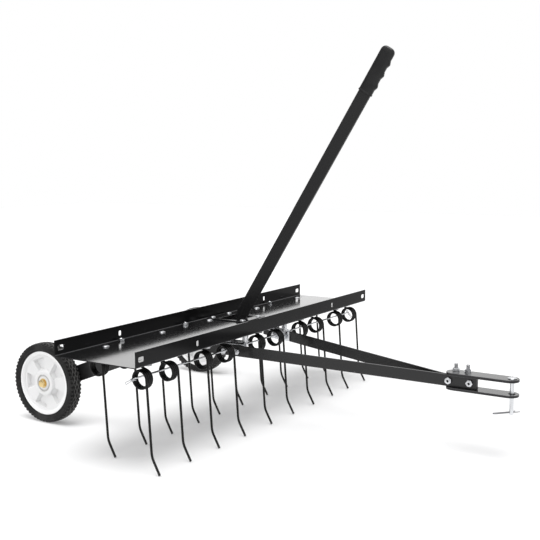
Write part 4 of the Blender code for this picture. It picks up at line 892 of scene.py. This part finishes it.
def pocket_outline(middle_angle, grow, height):
    """A wedge pocket between two spokes with rounded corners, about the hub's axis."""
    corner = max(POCKET_CORNER + grow, 0.0008)
    outer = POCKET_OUTER - corner + grow
    inner = POCKET_INNER + corner - grow
    wide = radians(POCKET_HALF_ANGLE) - (corner - grow) / outer
    narrow = radians(POCKET_HALF_ANGLE) - (corner - grow) / inner
    points = []
    for radius, angle, start in ((outer, wide, 0), (inner, narrow, 90), (inner, -narrow, 180), (outer, -wide, 270)):
        centre_angle = radians(middle_angle) + angle
        centre = (radius * cos(centre_angle), radius * sin(centre_angle))
        base = degrees(centre_angle) + start
        points += [(u, v, height) for u, v in arc(centre, corner, base, base + 90, 6)]
    return points


def from_axle(point):
    """How far a point of a wheel is from its axle."""
    axle = tuple(Vector((AXLE[0], 0, AXLE[1])) + REAR_LIP)
    return point.vector("MULTIPLY", (1, 0, 1)).vector("DISTANCE", axle, output="Value")


hub_inner = -(WHEEL_Y - ARM_Y - ARM_THICKNESS / 2 - GAP)
bead = BEAD_RADIUS - GAP
hub_profile = [
    (0.0063, hub_inner), (0.0155, hub_inner), (0.016, hub_inner + 0.0006), (0.016, -WEB_BACK), (0.0675, -WEB_BACK),
    (0.0685, -HUB_HALF_WIDTH), (bead - 0.0006, -HUB_HALF_WIDTH), (bead, -HUB_HALF_WIDTH + 0.0006)]
# The outer face, from the bead inwards: each radius and how far it lies behind the rim
hub_profile += [(radius, HUB_HALF_WIDTH - fall) for radius, fall in (
    (bead, 0.0006), (bead - 0.0006, 0), (0.0735, 0), (0.0722, 0.0006), (0.0672, 0.0048), (0.0655, 0.0056),
    (0.063, 0.0058), (0.0345, 0.0058), (0.0332, 0.0054), (0.03, 0.0014), (0.0288, 0.0004), (0.0276, 0.0001),
    (0.0222, 0), (0.0206, 0.0002), (0.02, 0.0022), (0.018, 0.0024), (0.0172, 0.0008), (0.015, 0.0006),
    (0.0138, 0), (0.0063, 0))]
HUB_FINISH, point = new_finish("hub_plastic", 0.36, specular=0.5)
mottle = point.noise(14, 4)
grime = point.noise(60, 5).step(0.58, 0.85)
satin = point.noise(700, 3)
reach = from_axle(point)
colour = (grime * 0.35 + mottle.step(0.45, 0.75) * 0.35).between(HUB_WHITE, HUB_GRIMY)
# Painted shade: the groove round the bolt's boss is painted darker.
colour = (reach.step(0.015, 0.0172) * (1 - reach.step(0.019, 0.0216)) * 0.42).between(colour, GROOVE_PAINTED_SHADE)
# Painted light: the flat rim round the dished web is painted lighter.
colour = (reach.step(0.0665, 0.07) * 0.8).between(colour, RIM_PAINTED_LIGHT)
dress(HUB_FINISH, colour, 0.32 + mottle * 0.1 + grime * 0.12, satin, 0.00003)

# Tyres
# Hard rubber tyres with a diamond tread between two rows of shoulder notches, each wheel on a yellow zinc bolt.
TREAD_DEPTH = 0.0032
TREAD_PITCHES = 30
TREAD_STEPS = 480
TREAD_HALF_WIDTH = 0.0162
SHOULDER = 0.01
AXLE_RADIUS = 0.006
AXLE_NUT = 0.0105
AXLE_HEAD = 0.0092
AXLE_WASHER = 0.0115
RUBBER = (0.007, 0.007, 0.007, 1)
# The lighter rubber of wear and of the painted highlights on the tread
WORN_AND_HIGHLIGHT_RUBBER = (0.15, 0.147, 0.143, 1)
# The sidewall from the bead outwards: how far out each point is, and its distance from the wheel's middle plane
SIDEWALL = [(BEAD_RADIUS + rise, along) for rise, along in (
    (0, 0.015), (0.0015, 0.0158), (0.0035, 0.0161), (0.004, 0.0166), (0.0052, 0.0166), (0.0057, 0.0162),
    (0.008, 0.0168), (0.0105, 0.017), (0.0122, 0.0167))]


def tread_radius(share, along):
    """The tyre's radius at a share of a turn and a place across it."""
    crown = WHEEL_RADIUS - 0.0022 * (abs(along) / TREAD_HALF_WIDTH) ** 3
    phase = share * TREAD_PITCHES
    notched = (phase * 2 + (0.5 if along < 0 else 0.0)) % 1 < 0.42
    shoulder = min(max((abs(along) - SHOULDER) / 0.0012, 0), 1)
    ribs = [abs((phase + slant * along / 0.0095) % 1 - 0.5) * 2 for slant in (1, -1)]
    fall = 0.75 * shoulder if notched else 0.0
    if min(ribs) > 0.26:
        fall = max(fall, (1 - shoulder) * min(abs(along) / SHOULDER + 0.6, 0.9))
    if 0.0098 < abs(along) < 0.0112:
        fall = max(fall, 0.6)
    return crown - TREAD_DEPTH * fall


half_tread = [TREAD_HALF_WIDTH - TREAD_HALF_WIDTH * step / 18 for step in range(19)]
tread = half_tread[:-1] + [-value for value in half_tread[::-1]]
far_side = [(radius, -along) for radius, along in SIDEWALL[::-1]]
tyre = turned("tyre", [SIDEWALL + [(tread_radius(step / TREAD_STEPS, along), along) for along in tread] + far_side
                       for step in range(TREAD_STEPS)], 28)
TYRE_FINISH, point = new_finish("tyre_rubber", 0.6, specular=0.22)
pore = point.noise(650, 4)
bloom = point.noise(35, 4)
# The tread blocks' edges are painted lighter as painted highlights; the crown is lighter from wear and painted
# highlight.
worn_and_highlight = edge_of(point, 0.0007).step(0.02, 0.35) * 0.5 + from_axle(point).step(0.095, 0.0966) * 0.5
colour = (bloom.step(0.42, 0.78) * 0.12 + pore.step(0.5, 0.8) * 0.06 + worn_and_highlight * 0.8).between(RUBBER, WORN_AND_HIGHLIGHT_RUBBER)
dress(TYRE_FINISH, colour, 0.46 + bloom * 0.2, pore, 0.0001)
GOLD = plating("yellow_zinc_plating", (0.78, 0.6, 0.3, 1), 0.2)
inner_nut = -(WHEEL_Y - ARM_Y + ARM_THICKNESS / 2 + GAP)
hub_head = HUB_HALF_WIDTH + GAP
axle = loft("axle_bolt", [
    (0.0045, inner_nut - 0.008), (0.0058, inner_nut - 0.0074), *hex_rings(AXLE_NUT, inner_nut - 0.0072, inner_nut),
    (AXLE_RADIUS, inner_nut), (AXLE_RADIUS, hub_head), (AXLE_WASHER - GAP, hub_head), (AXLE_WASHER, hub_head + GAP),
    (AXLE_WASHER, hub_head + 0.0011), (AXLE_WASHER - GAP, hub_head + 0.0014),
    *hex_rings(AXLE_HEAD, hub_head + 0.0014, hub_head + 0.0078), (AXLE_RADIUS, hub_head + 0.008)])
for side, label in SIDES:
    place = at(AXLE[0], side * WHEEL_Y, WHEEL_RADIUS) @ spin(-side * pi / 2, "X")
    hub = turned("hub", [hub_profile] * HUB_STEPS)
    for face, surface in ((1, WEB_FACE), (-1, WEB_BACK)):
        layers = ((-POCKET_DRAFT, surface - POCKET_DEPTH), (0.0, surface), (0.0, surface + 0.01))
        for number in range(POCKETS):
            turn = -side * (POCKET_START + 360 * number / POCKETS)
            hub = cut(hub, loft("pocket", [pocket_outline(turn, grow, face * height) for grow, height in layers]))
    hub.transform(place)
    show(f"hub_{label}", hub, HUB_FINISH, f"wheel_{label}", edge=0.0007)
    show(f"tyre_{label}", moved(tyre, place), TYRE_FINISH, f"wheel_{label}")
    show(f"axle_bolt_{label}", moved(axle, place @ spin(0.3)), GOLD, "lift")

# Drawbars
# Two flat bars on edge that run forward in a V, bend parallel and lie against each other in the clevis.
BAR_HALF_HEIGHT = 0.013
BAR_THICKNESS = 0.0045
BAR_REAR = (0.112, 0.13, 0.1907)
BAR_BEND_X = 0.664
BAR_BEND_REACH = 0.012
BAR_END_X = 0.737
BAR_FRONT_HEIGHT = 0.1565
BAR_FRONT_Y = -0.0048
# The far, left bar's coat is painted darker than the near one's: painted shade on a copy of the same coat.
BAR_LIT_AND_SHADED_BASES = {"right": 0.007, "left": 0.002}


def bar_ends(side):
    """The rear end and the bend of a drawbar's middle line in plan."""
    return (Vector((BAR_REAR[0], side * BAR_REAR[1])),
            Vector((BAR_BEND_X, BAR_FRONT_Y + side * (BAR_THICKNESS / 2 + GAP / 2))))


for side, label in SIDES:
    rear, bend = bar_ends(side)
    end = Vector((BAR_END_X, bend.y))
    corner = bent(bend, (rear - bend).normalized(), (end - bend).normalized(), BAR_BEND_REACH)
    run = [rear + (corner[0] - rear) * step / 16 for step in range(16)]
    mesh = prism("drawbar", [ribbon(run + corner + [end], BAR_THICKNESS)], 2 * BAR_HALF_HEIGHT)
    slope = (BAR_REAR[2] - BAR_FRONT_HEIGHT) / (BAR_BEND_X - BAR_REAR[0])
    for vertex in mesh.vertices:
        vertex.co.z += BAR_FRONT_HEIGHT + slope * max(BAR_BEND_X - vertex.co.x, 0)
    finish = powder_coat(f"drawbar_{label}_powder_coat", BAR_LIT_AND_SHADED_BASES[label], 0.22, 0.46)
    show(f"drawbar_{label}", mesh, finish, "tray_body", edge=0.0006)

# Hitch brackets
# Zinc plated angles under the tray: shoulder bolts hang them from the floor, and two bolts hold each drawbar.
ANGLE_SHEET = 0.003
ANGLE_REAR = 0.14
ANGLE_FRONT = 0.208
ANGLE_TOP = 0.204
ANGLE_BOTTOM = 0.173
ANGLE_TONGUE = 0.034
DRAWBAR_NUT = 0.0074
LARGE_NUT = 0.0078
COLLAR_RADIUS = 0.007

wall = BAR_THICKNESS / 2 + GAP + ANGLE_SHEET / 2
half = ANGLE_SHEET / 2
section = [(-wall, ANGLE_BOTTOM)]
section += arc((-wall - ANGLE_SHEET, ANGLE_TOP - half - ANGLE_SHEET), ANGLE_SHEET, 0, 90, 6)
section.append((-wall - ANGLE_TONGUE, ANGLE_TOP - half))
flange_top = ANGLE_TOP + GAP
flange_low = ANGLE_TOP - ANGLE_SHEET - GAP
collar = UNDERSIDE - GAP
shoulder = loft("shoulder_bolt", [
    *hex_rings(NUT_RADIUS, flange_low - HEAD_HEIGHT, flange_low), (BOLT_RADIUS, flange_low), (BOLT_RADIUS, flange_top),
    (COLLAR_RADIUS - 0.0004, flange_top), (COLLAR_RADIUS, flange_top + 0.0004), (COLLAR_RADIUS, collar - 0.0004),
    (COLLAR_RADIUS - 0.0004, collar), (BOLT_RADIUS, collar), (BOLT_RADIUS, FLOOR_TOP + GAP),
    *hex_rings(LARGE_NUT, FLOOR_TOP + GAP, FLOOR_TOP + NUT_HEIGHT)])
outer = BAR_THICKNESS / 2 + GAP
inner = BAR_THICKNESS / 2 + 2 * GAP + ANGLE_SHEET
cross = loft("drawbar_bolt", [
    *hex_rings(DRAWBAR_NUT, -inner - HEAD_HEIGHT, -inner), (BOLT_RADIUS, -inner), (BOLT_RADIUS, outer),
    *hex_rings(DRAWBAR_NUT, outer, outer + NUT_HEIGHT), (BOLT_RADIUS - GAP, outer + NUT_HEIGHT),
    *thread_rings(BOLT_RADIUS, outer + NUT_HEIGHT, outer + 0.009)])
for side, label in SIDES:
    rear, bend = bar_ends(side)
    heading = atan2(bend.y - rear.y, bend.x - rear.x)
    middle_x = (ANGLE_REAR + ANGLE_FRONT) / 2
    outline = [(side * u, v) for u, v in ribbon(section, ANGLE_SHEET)]
    angle = prism("hitch_bracket", [outline], ANGLE_FRONT - ANGLE_REAR, FACING_FRONT)
    angle.transform(at(middle_x, rear.y + tan(heading) * (middle_x - rear.x), 0) @ spin(heading))
    show(f"hitch_bracket_{label}", angle, ZINC, edge=0.0004)
    for number in (1, 2):
        node = f"shoulder_bolt_{label}_{number}"
        show(node, moved(shoulder, at(*middle(node).xy, 0) @ spin(0.7 * number)), ZINC)
        node = f"drawbar_bolt_{label}_{number}"
        spot = middle(node)
        copy = moved(cross, spin(heading) @ spin(-side * pi / 2, "X"))
        xs, ys = ([vertex.co[axis] for vertex in copy.vertices] for axis in (0, 1))
        copy.transform(at(spot.x - (min(xs) + max(xs)) / 2, spot.y - (min(ys) + max(ys)) / 2, spot.z))
        show(node, copy, ZINC)

# Clevis
# Two flat straps with round ends over and under the drawbars, bolted through both ways by dark bolts with bright nuts.
# The lower one is a little thinner, which leaves the hitch pin's clip its room below when the pin is raised.
STRAP_HALF_WIDTH = 0.021
STRAP_REAR = 0.681
STRAP_FRONT = 0.81
STRAP_END = 0.015
# Each strap's thickness, and how far its middle lies above the CAD's
STRAPS = {"upper": (0.006, 0.0005), "lower": (0.0052, -0.0001)}
STRAP_BOLT_XS = (0.684, 0.711)
STRAP_BOLT_Y = 0.0078
STRAP_BOLT_HEAD = 0.007
STRAP_NUT = 0.0075
BAR_BOLT_DOME = (0.0075, 0.0024)
PIN_BORE = 0.0074

ends = (STRAP_FRONT + STRAP_END - STRAP_HALF_WIDTH, STRAP_REAR - STRAP_END + STRAP_HALF_WIDTH)
outline = arc((ends[0], 0), STRAP_HALF_WIDTH, -90, 90, 32) + arc((ends[1], 0), STRAP_HALF_WIDTH, 90, 270, 32)
bores = [circle((STRAP_FRONT, 0), PIN_BORE, 36)]
bores += [circle((x, STRAP_BOLT_Y), BOLT_RADIUS + GAP) for x in STRAP_BOLT_XS]
STRAP_COAT = powder_coat("strap_powder_coat", 0.009, 0.18, 0.4, 0.28)
for label, (thickness, rise) in STRAPS.items():
    node = f"hitch_strap_{label}"
    strap = punched(node, outline, bores, thickness)
    strap.transform(at(0, 0, middle(node).z + rise))
    show(node, strap, STRAP_COAT, "tray_body", edge=0.0008)

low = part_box("hitch_strap_lower")[0].z - 0.0005
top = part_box("hitch_strap_upper")[1].z + 0.0013
DULL_ZINC = plating("dull_zinc_plating", (0.3, 0.3, 0.31, 1), 0.28)
upright = loft("strap_bolt", [
    *hex_rings(STRAP_BOLT_HEAD, low - 0.0035, low), (BOLT_RADIUS, low), (BOLT_RADIUS, top + 0.0066),
    *thread_rings(BOLT_RADIUS, top + 0.0066, top + 0.016)])
bore = BOLT_RADIUS + 0.0001
nut = loft("strap_nut", [(STRAP_NUT + GAP, top), (STRAP_NUT + GAP, top + 0.0009),
                         *hex_rings(STRAP_NUT, top + 0.0009, top + 0.0065)])
nut = cut(nut, loft("strap_nut_bore", [(bore, low), (bore, top + 0.02)]))
for number, x in enumerate(STRAP_BOLT_XS, 1):
    place = at(x, STRAP_BOLT_Y, 0) @ spin(0.4 * number)
    show(f"strap_bolt_{number}", moved(upright, place), DULL_ZINC)
    show(f"strap_bolt_{number}", moved(nut, place), ZINC, name=f"strap_nut_{number}")
reach = BAR_THICKNESS + 1.5 * GAP
wide, tall = BAR_BOLT_DOME
dome = [(wide * cos(turn), -reach - tall * sin(turn)) for turn in map(radians, (84, 70, 50, 30, 12, 0))]
crossways = loft("bar_bolt", [
    *dome, (BOLT_RADIUS, -reach), (BOLT_RADIUS, reach + 0.003), (BOLT_RADIUS - 0.0008, reach + 0.0038)])
nut = loft("bar_nut", [*hex_rings(LARGE_NUT, reach, reach + 0.006), (0.0052, reach + 0.006),
                       (0.0048, reach + 0.0074), (0.0042, reach + 0.0078)])
nut = cut(nut, loft("bar_nut_bore", [(bore, reach - 0.01), (bore, reach + 0.0044), (0.0027, reach + 0.005),
                                     (0.0027, reach + 0.02)]))
for number in (1, 2):
    node = f"bar_bolt_{number}"
    place = at(middle(node).x, BAR_FRONT_Y, BAR_FRONT_HEIGHT) @ UPRIGHT @ spin(0.5 * number)
    # The bar bolts are black; their black also stands as painted shade down the nuts' open bores.
    show(node, moved(crossways, place), SPRING)
    show(node, moved(nut, place), ZINC, name=f"bar_nut_{number}")

# Hitch pin
# A zinc plated drop pin through both straps, kept by a hair clip of dull wire through its lower end.
PIN_RADIUS = 0.0046
PIN_HEAD = 0.0095
PIN_HEAD_HEIGHT = 0.0035
PIN_CLIP_WIRE = 0.0011
PIN_CLIP_LENGTH = 0.062
PIN_CLIP_TURN = radians(48)
pin_low, pin_high = (corner.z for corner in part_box("hitch_pin"))
seat = pin_high - PIN_HEAD_HEIGHT

pin = loft("hitch_pin", [
    (PIN_RADIUS * 0.6, pin_low), (PIN_RADIUS * 0.85, pin_low + 0.0007), (PIN_RADIUS, pin_low + 0.002),
    (PIN_RADIUS, (pin_low + seat) / 2), (PIN_RADIUS, seat + 0.001), (0.0082, seat + 0.001),
    (PIN_HEAD - 0.0002, seat + 0.0013), (PIN_HEAD, seat + 0.0016), (PIN_HEAD, seat + 0.002),
    (PIN_HEAD - 0.0006, seat + 0.0026), (0.0078, seat + 0.0032), (0.004, pin_high)])
pin.transform(at(STRAP_FRONT, 0, 0))
show("hitch_pin", pin, ZINC, "hitch_pin_body")
points = [(point.x, -point.y, 0) for point in clip_path(PIN_RADIUS, PIN_CLIP_WIRE, PIN_CLIP_LENGTH)]
clip = tube("hitch_pin_clip", points, PIN_CLIP_WIRE, 14)
clip.transform(at(STRAP_FRONT, 0, middle("hitch_pin_clip").z) @ spin(pi + PIN_CLIP_TURN))
show("hitch_pin_clip", clip, DULL_ZINC, "pin_clip_body")
